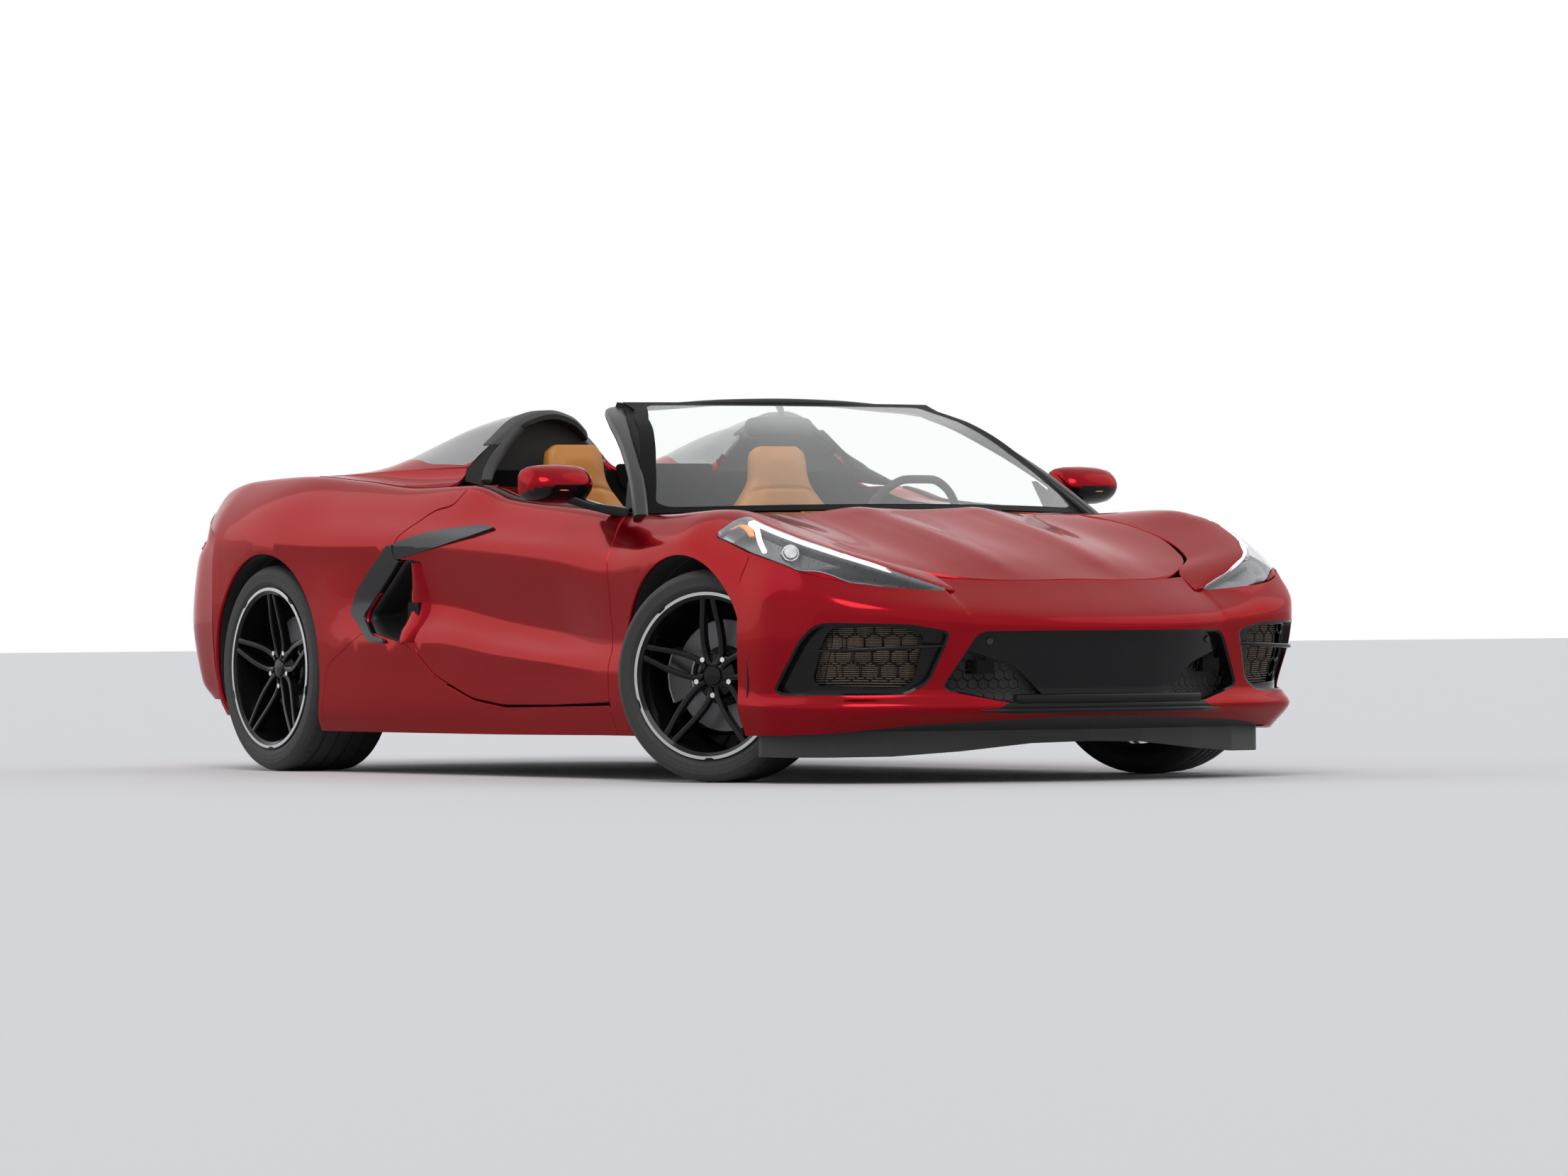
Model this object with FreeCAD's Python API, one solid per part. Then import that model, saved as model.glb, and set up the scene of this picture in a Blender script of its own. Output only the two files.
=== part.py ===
import FreeCAD, Part
import math
import os

# Two-seat mid-engined convertible, parked with its roof stowed and its front wheels turned to the left.
# Frame: +X to the nose, +Y to the car's left, +Z up, origin on the ground at mid length and mid width.
# Sizes are millimetres. Tables give the left half; the right half is its mirror.

overall_length = 4630.0
front_overhang = 1000.0
wheelbase = 2722.0
half_width = 966.0
front_axle_x = overall_length / 2 - front_overhang
rear_axle_x = front_axle_x - wheelbase
belly_z = 135.0
panel_gap = 6.0
skin_wall = 14.0
door_wall = 92.0
lid_wall = 20.0
bumper_wall = 16.0
blade_stand = 8.0
tip_radius = 46.0
tip_wall = 3.0
tip_height = 325.0
tip_places = (-640.0, -525.0, 525.0, 640.0)
plate_spacing_y = 178.0
plate_spacing_z = 121.0
plate_hole_radius = 3.3
plate_middle_z = 618.0

parked_steer_deg = 28.5
kingpin_y = 750.0
arch_inner_y = 522.0
arch_drop = 10.0
ball_height = 92.0
arm_eye = 24.0
seat_gap = 0.3
hinge_x = 805.0
hinge_y = 905.0
hinge_levels = (355.0, 600.0)
hinge_pin_radius = 10.0
spoke_count = 5
hub_radius = 76.0
stud_circle_radius = 60.0
nut_radius = 11.0
disc_thickness = 28.0
wheel_facets = 48

# Axles: axle x, half track, tyre radius, tyre width, bead radius, flange radius, rim width,
# spoke face outboard of the rim's middle, arch radius, steer angle as parked
axles = {
    "front": dict(x=front_axle_x, track=824.0, radius=327.0, width=245.0, bead=243.0, flange=258.0, rim=232.0,
                  face=112.0, arch=380.0, disc=172.0, steer=parked_steer_deg),
    "rear": dict(x=rear_axle_x, track=793.0, radius=345.5, width=305.0, bead=256.0, flange=271.0, rim=294.0,
                 face=146.0, arch=392.0, disc=175.0, steer=0.0),
}

# Lengthwise lines of the body side from the rocker up: name, then knots of x, y, z
side_lines = (
    ("rocker", ((-2120, 850, 240), (-1800, 895, 185), (-1010, 925, 138), (0, 915, 136),
                (865, 915, 140), (1700, 925, 146))),
    ("sill", ((-2120, 880, 330), (-1800, 925, 250), (-1010, 955, 205), (-400, 945, 213), (180, 935, 226),
              (865, 945, 240), (1700, 952, 235))),
    ("ridge", ((-2120, 890, 430), (-1800, 940, 400), (-1010, 962, 430), (-550, 958, 436), (-250, 952, 440),
               (150, 950, 400), (500, 948, 372), (865, 950, 345), (1700, 954, 330))),
    ("hollow", ((-2120, 892, 560), (-1800, 950, 560), (-1010, 962, 560), (-550, 940, 560), (-250, 908, 545),
                (150, 900, 492), (500, 905, 458), (865, 932, 430), (1700, 954, 440))),
    ("crease", ((-2120, 850, 720), (-1960, 900, 735), (-1800, 945, 750), (-1407, 966, 768), (-1010, 964, 757),
                (-550, 955, 750), (-250, 950, 738), (150, 952, 716), (500, 952, 690), (865, 953, 655),
                (1100, 960, 672), (1315, 962, 700), (1500, 958, 640), (1660, 948, 579), (1780, 942, 569),
                (1890, 906, 553), (1980, 860, 539), (2050, 800, 528), (2110, 700, 515))),
    ("shoulder", ((-2120, 800, 820), (-1960, 858, 852), (-1800, 895, 872), (-1407, 925, 885), (-1010, 915, 858),
                  (-550, 905, 838), (-250, 905, 822), (150, 906, 792), (500, 908, 770), (865, 910, 752),
                  (1100, 915, 772), (1315, 915, 782), (1440, 912, 752), (1654, 905, 697), (1873, 870, 642),
                  (1990, 760, 608), (2050, 615, 590), (2068, 475, 581))),
    ("crown", ((-2120, 755, 890), (-2010, 765, 950), (-1800, 780, 978), (-1407, 798, 987), (-1010, 805, 964),
               (-550, 828, 934), (-200, 838, 936), (50, 838, 888), (500, 836, 852), (800, 838, 828),
               (1050, 825, 826), (1230, 808, 834), (1315, 803, 837), (1405, 804, 836), (1500, 818, 820),
               (1598, 835, 795), (1668, 825, 774), (1775, 800, 742), (1928, 720, 688), (2011, 600, 637),
               (2068, 459, 583))),
)
# Edge of the front lid from the cowl to the middle of its front: x, y, z
lid_edge = ((1175, 0, 841), (1160, 240, 840), (1130, 420, 832), (1085, 598, 829), (1200, 591, 822),
            (1400, 610, 794), (1640, 611, 741), (1850, 554, 676), (1960, 440, 631), (2030, 300, 615),
            (2055, 150, 613), (2060, 0, 614))
# Inner edge of the wing's top from the door to the lamp's tip: x, y, z
wing_edge = ((792, 822, 827), (868, 812, 826), (910, 765, 826), (960, 712, 827), (1020, 656, 829),
             (1085, 604, 828), (1200, 597, 822), (1400, 616, 794), (1640, 617, 741), (1850, 561, 676), (1960, 447, 631), (2068, 438, 583))
# Crosswise rows of the front lid: name, then knots of x, y, z
lid_lines = (
    ("middle", ((1080, 0, 849), (1180, 0, 838), (1300, 0, 812), (1577, 0, 749), (1850, 0, 681), (2075, 0, 610))),
    ("ridge", ((1080, 215, 853), (1180, 212, 843), (1300, 208, 818), (1577, 203, 759), (1850, 196, 686),
               (2075, 185, 602))),
    ("valley", ((1080, 450, 834), (1200, 440, 812), (1577, 430, 735), (1850, 415, 668), (2075, 400, 592))),
    ("verge", ((1080, 640, 830), (1200, 635, 822), (1400, 640, 796), (1640, 640, 742), (1850, 610, 672),
               (2075, 560, 585))),
)
# Columns of the front bumper from the middle outwards, as x, y, z of each row:
# top edge, nose crease, mid face, low face, lip, underside
nose_columns = (
    ((2067, 0, 611), (2295, 0, 478), (2292, 0, 430), (2272, 0, 283), (2288, 0, 230), (2240, 0, 200)),
    ((2063, 150, 610), (2286, 150, 479), (2283, 150, 430), (2264, 150, 283), (2280, 150, 230), (2230, 150, 198)),
    ((2038, 300, 611), (2258, 300, 484), (2254, 300, 430), (2234, 300, 283), (2252, 300, 230), (2200, 300, 192)),
    ((1985, 448, 619), (2202, 450, 492), (2198, 450, 430), (2177, 450, 282), (2198, 450, 230), (2140, 450, 185)),
    ((2073, 476, 579), (2193, 476, 494), (2189, 476, 430), (2167, 476, 282), (2189, 476, 230), (2131, 476, 184)),
    ((2055, 612, 588), (2148, 604, 503), (2144, 604, 430), (2118, 600, 280), (2144, 604, 230), (2088, 584, 178)),
    ((2024, 712, 597), (2108, 704, 515), (2104, 704, 430), (2074, 694, 280), (2098, 704, 230), (2038, 674, 168)),
    ((1966, 800, 613), (2050, 800, 528), (2048, 800, 430), (2015, 785, 280), (2038, 800, 230), (1980, 760, 158)),
    ((1876, 874, 641), (1980, 860, 539), (1978, 860, 430), (1945, 845, 278), (1966, 860, 230), (1915, 820, 152)),
    ((1800, 889, 660), (1890, 906, 553), (1890, 908, 430), (1862, 892, 275), (1880, 908, 232), (1840, 870, 149)),
    ((1720, 900, 681), (1780, 942, 569), (1780, 944, 430), (1765, 936, 272), (1775, 944, 234), (1760, 910, 147)),
    ((1648, 905, 699), (1648, 949, 580), (1648, 954, 430), (1648, 951, 300), (1648, 954, 236), (1648, 926, 146)),
)
# Columns of the rear bumper from the middle outwards:
# deck edge, lamp band top, crease, step, low face, underside
tail_columns = (
    ((-2236, 0, 902), (-2212, 0, 790), (-2290, 0, 700), (-2315, 0, 512), (-2262, 0, 330), (-2200, 0, 250)),
    ((-2226, 300, 902), (-2204, 300, 790), (-2280, 300, 702), (-2306, 300, 512), (-2252, 300, 330), (-2190, 300, 250)),
    ((-2196, 500, 900), (-2182, 500, 790), (-2246, 500, 706), (-2280, 500, 512), (-2222, 500, 325), (-2160, 500, 248)),
    ((-2160, 650, 896), (-2148, 650, 790), (-2203, 650, 712), (-2240, 650, 510), (-2178, 650, 320), (-2120, 640, 245)),
    ((-2118, 752, 886), (-2108, 758, 788), (-2160, 755, 718), (-2200, 755, 509), (-2130, 750, 315), (-2075, 735, 243)),
    ((-2050, 822, 850), (-2042, 836, 784), (-2106, 836, 722), (-2145, 840, 508), (-2070, 838, 308), (-2020, 815, 240)),
    ((-1960, 868, 824), (-1956, 886, 776), (-1985, 897, 722), (-2010, 905, 508), (-1970, 900, 306), (-1950, 865, 238)),
    ((-1810, 902, 800), (-1810, 925, 770), (-1810, 943, 722), (-1810, 947, 508), (-1810, 930, 306), (-1810, 890, 236)),
)
# Roof cover with a hump behind each seat: station x, then rows of y, z from the middle outwards
cover_stations = (
    (-395, ((0, 985), (175, 1000), (275, 1095), (370, 1165), (450, 1183), (540, 1162), (640, 1085), (732, 1000))),
    (-530, ((0, 985), (180, 998), (280, 1090), (375, 1160), (452, 1178), (540, 1155), (640, 1080), (733, 1000))),
    (-705, ((0, 984), (195, 996), (295, 1075), (385, 1138), (458, 1156), (545, 1133), (640, 1068), (734, 998))),
    (-906, ((0, 982), (220, 993), (315, 1050), (400, 1098), (466, 1112), (550, 1090), (640, 1045), (734, 996))),
    (-1122, ((0, 980), (250, 988), (340, 1018), (415, 1040), (478, 1046), (560, 1033), (640, 1012), (734, 992))),
    (-1330, ((0, 978), (280, 981), (360, 988), (430, 994), (490, 996), (565, 994), (640, 991), (734, 989))),
)
# Boot lid: station x, then rows of y, z from the middle outwards
boot_stations = (
    (-1336, ((0, 978), (280, 981), (490, 996), (640, 991), (734, 989))),
    (-1600, ((0, 958), (280, 962), (490, 980), (640, 984), (734, 986))),
    (-1850, ((0, 930), (280, 934), (490, 956), (640, 968), (734, 972))),
    (-2010, ((0, 912), (280, 916), (490, 934), (640, 944), (734, 948))),
    (-2095, ((0, 906), (280, 908), (490, 914), (640, 916), (712, 908))),
)
# Pillar from its foot to the header, and the header's left half: x, y, z
pillar_rows = ((905, 850, 812), (800, 797, 896), (690, 748, 972), (520, 680, 1068), (390, 630, 1130), (285, 576, 1165))
header_rows = ((285, 576, 1165), (304, 400, 1180), (314, 200, 1193), (318, 0, 1197))
# Windscreen on its middle line, foot first: x, z, and how far it sweeps back per square metre of y
screen_rows = ((1130, 836, 378), (880, 978, 290), (620, 1108, 190), (356, 1190, 105))
# Shut lines and openings in side view (x, z)
door_outline = ((861, 250), (868, 640), (850, 730), (800, 822), (795, 1000), (-170, 1000), (-180, 934), (-230, 869),
                (-349, 855), (-440, 806), (-500, 764), (-500, 700), (-350, 696), (-322, 533), (-373, 414),
                (-258, 330), (-16, 253), (180, 232), (500, 234), (861, 244))
intake_outline = ((-90, 716), (-148, 676), (-240, 575), (-246, 487), (-290, 430), (-540, 430), (-640, 452),
                  (-712, 513), (-636, 579), (-470, 702), (-282, 712))
blade_outline = ((78, 793), (-4, 809), (-300, 782), (-451, 757), (-540, 744), (-659, 671), (-747, 605),
                 (-797, 530), (-663, 435), (-551, 426), (-550, 440), (-640, 454), (-712, 515), (-636, 579),
                 (-470, 700), (-282, 714), (-90, 728))
sill_outline = ((864, 130), (864, 232), (500, 226), (180, 222), (-16, 243), (-264, 318), (-385, 405), (-420, 424),
                (-690, 470), (-950, 360), (-1012, 205), (-1012, 130))
quarter_tail_seam = ((-1804, 100), (-1804, 800), (-1960, 826), (-2050, 854), (-2110, 886), (-2200, 900),
                     (-2200, 100))
# Lamps in plan (x, y), and openings in front view (y, z)
lamp_outline = ((1440, 908), (1520, 826), (1598, 836), (1668, 826), (1775, 800), (1928, 720), (2011, 600),
                (2068, 460), (2070, 474), (2052, 610), (1990, 758), (1873, 868), (1760, 890), (1654, 903))
grille_outline = ((-441, 458), (441, 458), (541, 283), (340, 240), (-340, 240), (-541, 283))
side_grille_outline = ((520, 458), (640, 480), (870, 487), (900, 431), (925, 268), (640, 268), (575, 300))
tail_lamp_outline = ((430, 800), (800, 800), (872, 790), (880, 740), (840, 735), (700, 728), (520, 735))


def along(x):
    """Table x moved with the axles and the ends of the car."""
    knots = ((-2315.0, -overall_length / 2), (-1407.0, rear_axle_x), (1315.0, front_axle_x),
             (2315.0, overall_length / 2))
    for (a, fa), (b, fb) in zip(knots, knots[1:]):
        if x <= b or b == knots[-1][0]:
            return fa + (x - a) * (fb - fa) / (b - a)


def fit(x, y, z):
    """A table point as a point of the car, with the table's height kept above the ground."""
    return FreeCAD.Vector(along(x), y * half_width / 966.0, z)


def smooth(knots, u):
    """Value at u of a curve through knots of (u, v, w), with no overshoot between them."""
    knots = sorted(knots)
    u = min(max(u, knots[0][0]), knots[-1][0])
    k = min(max(i for i in range(len(knots)) if knots[i][0] <= u), len(knots) - 2)

    def secant(i, c):
        return (knots[i + 1][c] - knots[i][c]) / (knots[i + 1][0] - knots[i][0])

    def slope(i, c):
        if i == 0:
            return secant(0, c)
        if i == len(knots) - 1:
            return secant(i - 1, c)
        before, after = secant(i - 1, c), secant(i, c)
        return 2 * before * after / (before + after) if before * after > 0 else 0.0

    span = knots[k + 1][0] - knots[k][0]
    t = (u - knots[k][0]) / span
    return tuple(
        knots[k][c] * (2 * t ** 3 - 3 * t ** 2 + 1) + slope(k, c) * span * (t ** 3 - 2 * t ** 2 + t)
        + knots[k + 1][c] * (-2 * t ** 3 + 3 * t ** 2) + slope(k + 1, c) * span * (t ** 3 - t ** 2)
        for c in range(1, len(knots[0]))
    )


def rows_at(lines, x):
    """Points (y, z) of every named line at x, in the table's order."""
    return [smooth(knots, x) for _, knots in lines]


def inset(points, wall):
    """An open polyline of (y, z), from the rocker up and over, moved inwards by wall."""
    moved = []
    for i, (y, z) in enumerate(points):
        ahead, behind = points[min(i + 1, len(points) - 1)], points[max(i - 1, 0)]
        dy, dz = ahead[0] - behind[0], ahead[1] - behind[1]
        size = math.hypot(dy, dz)
        moved.append((y - wall * dz / size, z + wall * dy / size))
    return moved


def wire(points):
    """A closed wire through table points."""
    vectors = [fit(*p) for p in points]
    return Part.makePolygon(vectors + vectors[:1])


def facets(a, b, c, d):
    """The flat face a, b, c, d, or two triangles on its shorter diagonal, alike on both sides of the car."""
    normal = (b - a).cross(c - a)
    if normal.Length > 1e-6 and abs((d - a).dot(normal)) / normal.Length < 1e-4:
        return [Part.Face(Part.makePolygon([a, b, c, d, a]))]
    rank = [(round((p - q).Length, 3), round((p + q).z, 3), round((p + q).x, 3)) for p, q in ((a, c), (b, d))]
    if rank[1] < rank[0]:
        a, b, c, d = b, c, d, a
    return [Part.Face(Part.makePolygon([a, b, c, a])), Part.Face(Part.makePolygon([a, c, d, a]))]


def solid_of(faces):
    solid = Part.Solid(Part.Shell(faces))
    if solid.Volume < 0:
        solid.reverse()
    return solid


def loft(sections, closed=False):
    """A solid through rings of equal point count; its first half of points runs against its second half."""
    rings = [[fit(*p) for p in section] for section in sections]
    count = len(rings[0])
    faces = []
    for ring, after in zip(rings, rings[1:] + (rings[:1] if closed else [])):
        for i in range(count):
            faces += facets(ring[i], ring[(i + 1) % count], after[(i + 1) % count], after[i])
    if not closed:
        for ring in (rings[0], rings[-1]):
            for i in range(count // 2 - 1):
                faces += facets(ring[i], ring[i + 1], ring[count - 2 - i], ring[count - 1 - i])
    return solid_of(faces)


def skin(profile, stations, wall):
    """A wall of one thickness inside profile(x) = [(y, z), ...]."""
    sections = []
    for x in stations:
        outside = profile(x)
        sections.append([(x, y, z) for y, z in outside + inset(outside, wall)[::-1]])
    return loft(sections)


def slab(lines, stations, stand, wall):
    """A wall measured level: its outside stands proud of the lines and its inside lies wall deep."""
    sections = []
    for x in stations:
        rows = rows_at(lines, x)
        sections.append([(x, y + stand, z) for y, z in rows] + [(x, y - wall, z) for y, z in rows[::-1]])
    return loft(sections)


def shell_under(stations, wall):
    """A shell under mirrored rows (y, z) at each station x."""
    sections = []
    for x, rows in stations:
        outside = [(-y, z) for y, z in rows[:0:-1]] + list(rows)
        sections.append([(x, y, z) for y, z in outside] + [(x, y, z - wall) for y, z in outside[::-1]])
    return loft(sections)


def shell_behind(columns, wall):
    """A bumper shell behind the rows of mirrored columns; its top edge is thick downwards."""
    full = [[(x, -y, z) for x, y, z in column] for column in columns[:0:-1]] + [list(c) for c in columns]
    sections = []
    for i, column in enumerate(full):
        before, after = full[max(i - 1, 0)][1], full[min(i + 1, len(full) - 1)][1]
        dx, dy = after[0] - before[0], after[1] - before[1]
        size = math.hypot(dx, dy)
        nx, ny = -math.copysign(abs(dy) / size, column[1][0]), -math.copysign(abs(dx) / size, column[1][1])
        if i in (0, len(full) - 1):
            nx, ny = 0.0, -math.copysign(1.0, column[1][1])
        inside = []
        for k, (x, y, z) in enumerate(column):
            inside.append((x + nx * wall, y + ny * wall, z - (wall, wall / 2, 0, 0, 0, -wall / 2)[k]))
        sections.append(column + inside[::-1])
    return loft(sections)


def four_sided(point, across, lift):
    """A flat four-cornered section about a point from two half-edge vectors."""
    x, y, z = point
    return [(x + i * across[0] + j * lift[0], y + i * across[1] + j * lift[1], z + i * across[2] + j * lift[2])
            for i, j in ((-1, -1), (1, -1), (1, 1), (-1, 1))]


def bar(points, width, height):
    """A four-sided bar along points, its width level and its height square to its run."""
    sections = []
    for i, point in enumerate(points):
        run = FreeCAD.Vector(*points[min(i + 1, len(points) - 1)]) - FreeCAD.Vector(*points[max(i - 1, 0)])
        run.normalize()
        across = run.cross(FreeCAD.Vector(0, 0, 1)).normalize()
        sections.append(four_sided(point, across * (width / 2), across.cross(run) * (height / 2)))
    return loft(sections)


def prism(outline, axis, low, high):
    """outline of (a, b) pairs in the plane across axis, from low to high along it."""
    place = {"x": lambda a, b, c: (c, a, b), "y": lambda a, b, c: (a, c, b), "z": lambda a, b, c: (a, b, c)}[axis]
    start, end = fit(*place(0, 0, low)), fit(*place(0, 0, high))
    return Part.Face(wire([place(a, b, low) for a, b in outline])).extrude(end - start)


def box(x0, x1, y0, y1, z0, z1):
    low, high = fit(x0, y0, z0), fit(x1, y1, z1)
    return Part.makeBox(high.x - low.x, high.y - low.y, high.z - low.z, low)


def mirrored(shape):
    """The same piece on the other side of the car."""
    return shape.mirror(FreeCAD.Vector(0, 0, 0), FreeCAD.Vector(0, 1, 0))


def grown(outline, gap):
    """A closed outline moved outwards by gap."""
    count = len(outline)
    area = sum(outline[i - 1][0] * outline[i][1] - outline[i][0] * outline[i - 1][1] for i in range(count))
    turn = 1 if area > 0 else -1
    moved = []
    for i in range(count):
        (ax, ay), (bx, by), (cx, cy) = outline[i - 1], outline[i], outline[(i + 1) % count]
        ux, uy, vx, vy = bx - ax, by - ay, cx - bx, cy - by
        ul, vl = math.hypot(ux, uy), math.hypot(vx, vy)
        nx, ny = uy / ul + vy / vl, -ux / ul - vx / vl
        nl = math.hypot(nx, ny)
        reach = gap / max(0.5, nl / 2) / nl
        moved.append((bx + turn * reach * nx, by + turn * reach * ny))
    return moved


def one(shape):
    """The largest solid of a boolean's result."""
    return max(shape.Solids, key=lambda s: s.Volume)


def fused(shapes):
    """All shapes as one."""
    return shapes[0].fuse(list(shapes[1:])) if len(shapes) > 1 else shapes[0]


def save(name, *shapes):
    """Writes a node; like pieces that share it are given together."""
    solids = [solid for shape in shapes for solid in shape.Solids]
    shape = Part.makeCompound(solids) if len(solids) > 1 else solids[0]
    shape.exportStep(f"parts/{name}.step")
    print(name, len(solids), round(shape.Volume / 1e6, 2), shape.isValid())


def save_pair(name, shape):
    """A piece and its mirror on the other side."""
    save(name, shape, mirrored(shape))


def arch_cutter(axle, radius, inner_y, outer_y=1100.0):
    return Part.makeCylinder(radius, outer_y - inner_y, FreeCAD.Vector(axle["x"], inner_y, axle["radius"] - arch_drop),
                             FreeCAD.Vector(0, 1, 0))


os.makedirs("parts", exist_ok=True)
front_arch = arch_cutter(axles["front"], axles["front"]["arch"], arch_inner_y)
rear_arch = arch_cutter(axles["rear"], axles["rear"]["arch"], arch_inner_y)
door_hole = prism(grown(door_outline, panel_gap), "y", 600, 1100)
lid_outline = [(x, y) for x, y, _ in lid_edge] + [(x, -y) for x, y, _ in lid_edge[-2:0:-1]]

# Front bumper: one shell round the nose with the centre grille and side intakes cut out
bumper = shell_behind(nose_columns, bumper_wall)
bumper = bumper.cut(prism(grille_outline, "x", 1900, 2400))
for sign in (1, -1):
    bumper = bumper.cut(prism([(sign * y, z) for y, z in side_grille_outline], "x", 1690, 2400))
bumper = one(bumper.cut(prism(grown(lid_outline, panel_gap), "z", 500, 1000)))
save("front_bumper", bumper)

# Wings, from the door to the lamp and down behind the wheel
wing_stations = (794, 830, 866, 910, 960, 1020, 1085, 1200, 1315, 1405, 1500, 1598, 1668, 1775, 1850, 1928, 1985, 2066)


def wing_profile(x):
    return rows_at(side_lines, x) + [smooth(wing_edge, x)]


bumper_top_seam = [(column[0][0], column[0][2]) for column in nose_columns[3:]]
below_seam = bumper_top_seam + [(1648, 699), (1648, 100), (2200, 100)]
front_edge = max(x for x, z in door_outline)
door_sweep = math.hypot(front_edge - hinge_x, smooth(side_lines[4][1], front_edge)[0] - hinge_y) + 5.0
swing = Part.makeCylinder(door_sweep, 500, fit(hinge_x, hinge_y, 235))
wing = skin(wing_profile, wing_stations, skin_wall)
wing = wing.cut([front_arch, swing, box(700, 866, 700, 1100, 100, 600), door_hole, prism(grown(lid_outline, panel_gap), "z", 500, 1000),
                 prism(((1648, 100), (1648, 560), (2200, 560), (2200, 100)), "y", 300, 1100),
                 prism(lamp_outline, "z", 500, 950), bumper])
wing = one(wing)
save_pair("wings", wing)
lamp = skin(wing_profile, wing_stations[7:], 46.0).common(prism(lamp_outline, "z", 500, 950))
lamp = one(lamp.cut([bumper, wing]))
save_pair("headlamps", lamp)

# Rear quarters, from behind the doors over the haunches to the tail, and the blades round their intakes
quarter_stations = (-2112, -2060, -2010, -1960, -1880, -1800, -1650, -1500, -1407, -1250, -1100, -950, -800, -660,
                    -550, -450, -350, -250, -175)


def quarter_profile(x):
    return rows_at(side_lines, x) + [(742.0, smooth(side_lines[-1][1], x)[1] + 2)]


blade_prism = prism(blade_outline, "y", 600, 1100)
blade_band = slab(side_lines[2:6], (-830, -740, -650, -550, -400, -250, -100, 30, 90), blade_stand, 22)
blade = one(blade_band.common(blade_prism).cut([door_hole, rear_arch]))
sill = slab(side_lines[:3], (-1014, -900, -700, -500, -300, -100, 200, 500, 866), 0, 60)
sill = one(sill.common(prism(sill_outline, "y", 600, 1100)).cut([rear_arch, blade]))
quarter = skin(quarter_profile, quarter_stations, skin_wall)
quarter = quarter.cut([rear_arch, door_hole, prism(intake_outline, "y", 600, 1100),
                       prism(quarter_tail_seam, "y", 600, 1100), prism(sill_outline, "y", 600, 1100), blade])
quarter = one(quarter)
save_pair("quarters", quarter)
save_pair("quarter_blades", blade)
save_pair("side_sills", sill)

# Doors with their mirrors and the blade's front end
door_stations = (-502, -420, -340, -250, -170, -60, 80, 250, 420, 600, 760, 880)
door = one(slab(side_lines, door_stations, 0, door_wall).common(prism(door_outline, "y", 600, 1100)))
mirror_outline = ((-20, -48), (50, -42), (92, -8), (84, 22), (40, 48), (-20, 54))
mirror_x, mirror_z = 660.0, 930.0
mirror_arm = loft([[(back, y, z), (front, y, z), (front - 12, y, z + 24), (back, y, z + 26)]
                   for y, back, front, z in ((800, 660, 770, 800), (850, 650, 765, 836), (930, 635, 730, 880))])
mirror_head = loft([[(mirror_x + dx * k, y, mirror_z + dz * k) for dx, dz in mirror_outline]
                    for y, k in ((905, 0.7), (950, 0.95), (1010, 1.0), (1065, 0.9), (1100, 0.6))])
door_blade = one(blade_band.common(blade_prism).common(prism(door_outline, "y", 600, 1100)))
door = one(door.fuse([mirror_arm, mirror_head, door_blade]))
hinge_arms = []
for level in hinge_levels:
    pin = Part.makeCylinder(hinge_pin_radius, 80, fit(hinge_x, hinge_y, level - 40))
    arm = box(hinge_x - 12, hinge_x + 12, 795, hinge_y, level - 20, level + 20)
    hinge_arms.append(pin.fuse(arm))
    door = door.cut([Part.makeCylinder(hinge_pin_radius + seat_gap, 80.6, fit(hinge_x, hinge_y, level - 40.3)),
                     box(hinge_x - 17, 880, 820, hinge_y + 17, level - 26, level + 26)])
door = one(door)
save("door_left", door)
save("door_right", mirrored(door))

# Rear bumper and tail lamps
rear_shell = shell_behind(tail_columns, bumper_wall)
tail_lamps = []
for sign in (1, -1):
    lamp_prism = prism([(sign * y, z) for y, z in tail_lamp_outline], "x", -2400, -1900)
    tail_lamps.append(one(rear_shell.common(lamp_prism)))
    rear_shell = rear_shell.cut(lamp_prism)
tip_holes = []
for y in tip_places:
    hole = Part.makeCylinder(tip_radius + 5, 300, fit(-2400, y, tip_height), FreeCAD.Vector(1, 0, 0))
    tip_holes.append(hole)
plate_hole = prism(((-270, 545), (270, 545), (300, 690), (-300, 690)), "x", -2400, -2200)
plate_pad = prism(((-272, 543), (272, 543), (302, 692), (-302, 692)), "x", -2282, -2274)
plate_bolts = [Part.makeCylinder(plate_hole_radius, 40, fit(-2300, y, plate_middle_z + dz), FreeCAD.Vector(1, 0, 0))
               for y in (-plate_spacing_y / 2, plate_spacing_y / 2) for dz in (-plate_spacing_z / 2, plate_spacing_z / 2)]
rear_shell = rear_shell.cut(tip_holes + [plate_hole]).fuse(plate_pad).cut(plate_bolts)
rear_bumper = one(rear_shell)
spoiler = one(shell_under(((-2108, ((0, 910), (400, 914), (712, 908))), (-2170, ((0, 916), (400, 916), (650, 906))),
                           (-2238, ((0, 938), (400, 934), (580, 920)))), 24).cut(rear_bumper))
save("rear_bumper", rear_bumper)
save("tail_lamps", *tail_lamps)
save("spoiler", spoiler)

# Front lid, roof cover with its closed front, and boot lid
lid_sections = [(x, rows_at(lid_lines, x)) for x in (1080, 1140, 1200, 1300, 1400, 1577, 1700, 1850, 1960, 2030, 2068)]
lid = one(shell_under(lid_sections, lid_wall).common(prism(lid_outline, "z", 400, 1000)))
save("front_lid", lid)
cover_front = cover_stations[0][1]
front_wall = prism([(-y, z) for y, z in cover_front[:0:-1]] + list(cover_front), "x", -413, -395)
cover = one(shell_under(cover_stations, lid_wall).fuse(front_wall))
boot_lid = shell_under(boot_stations, lid_wall)
save("roof_cover", cover)
save("boot_lid", boot_lid)

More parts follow.
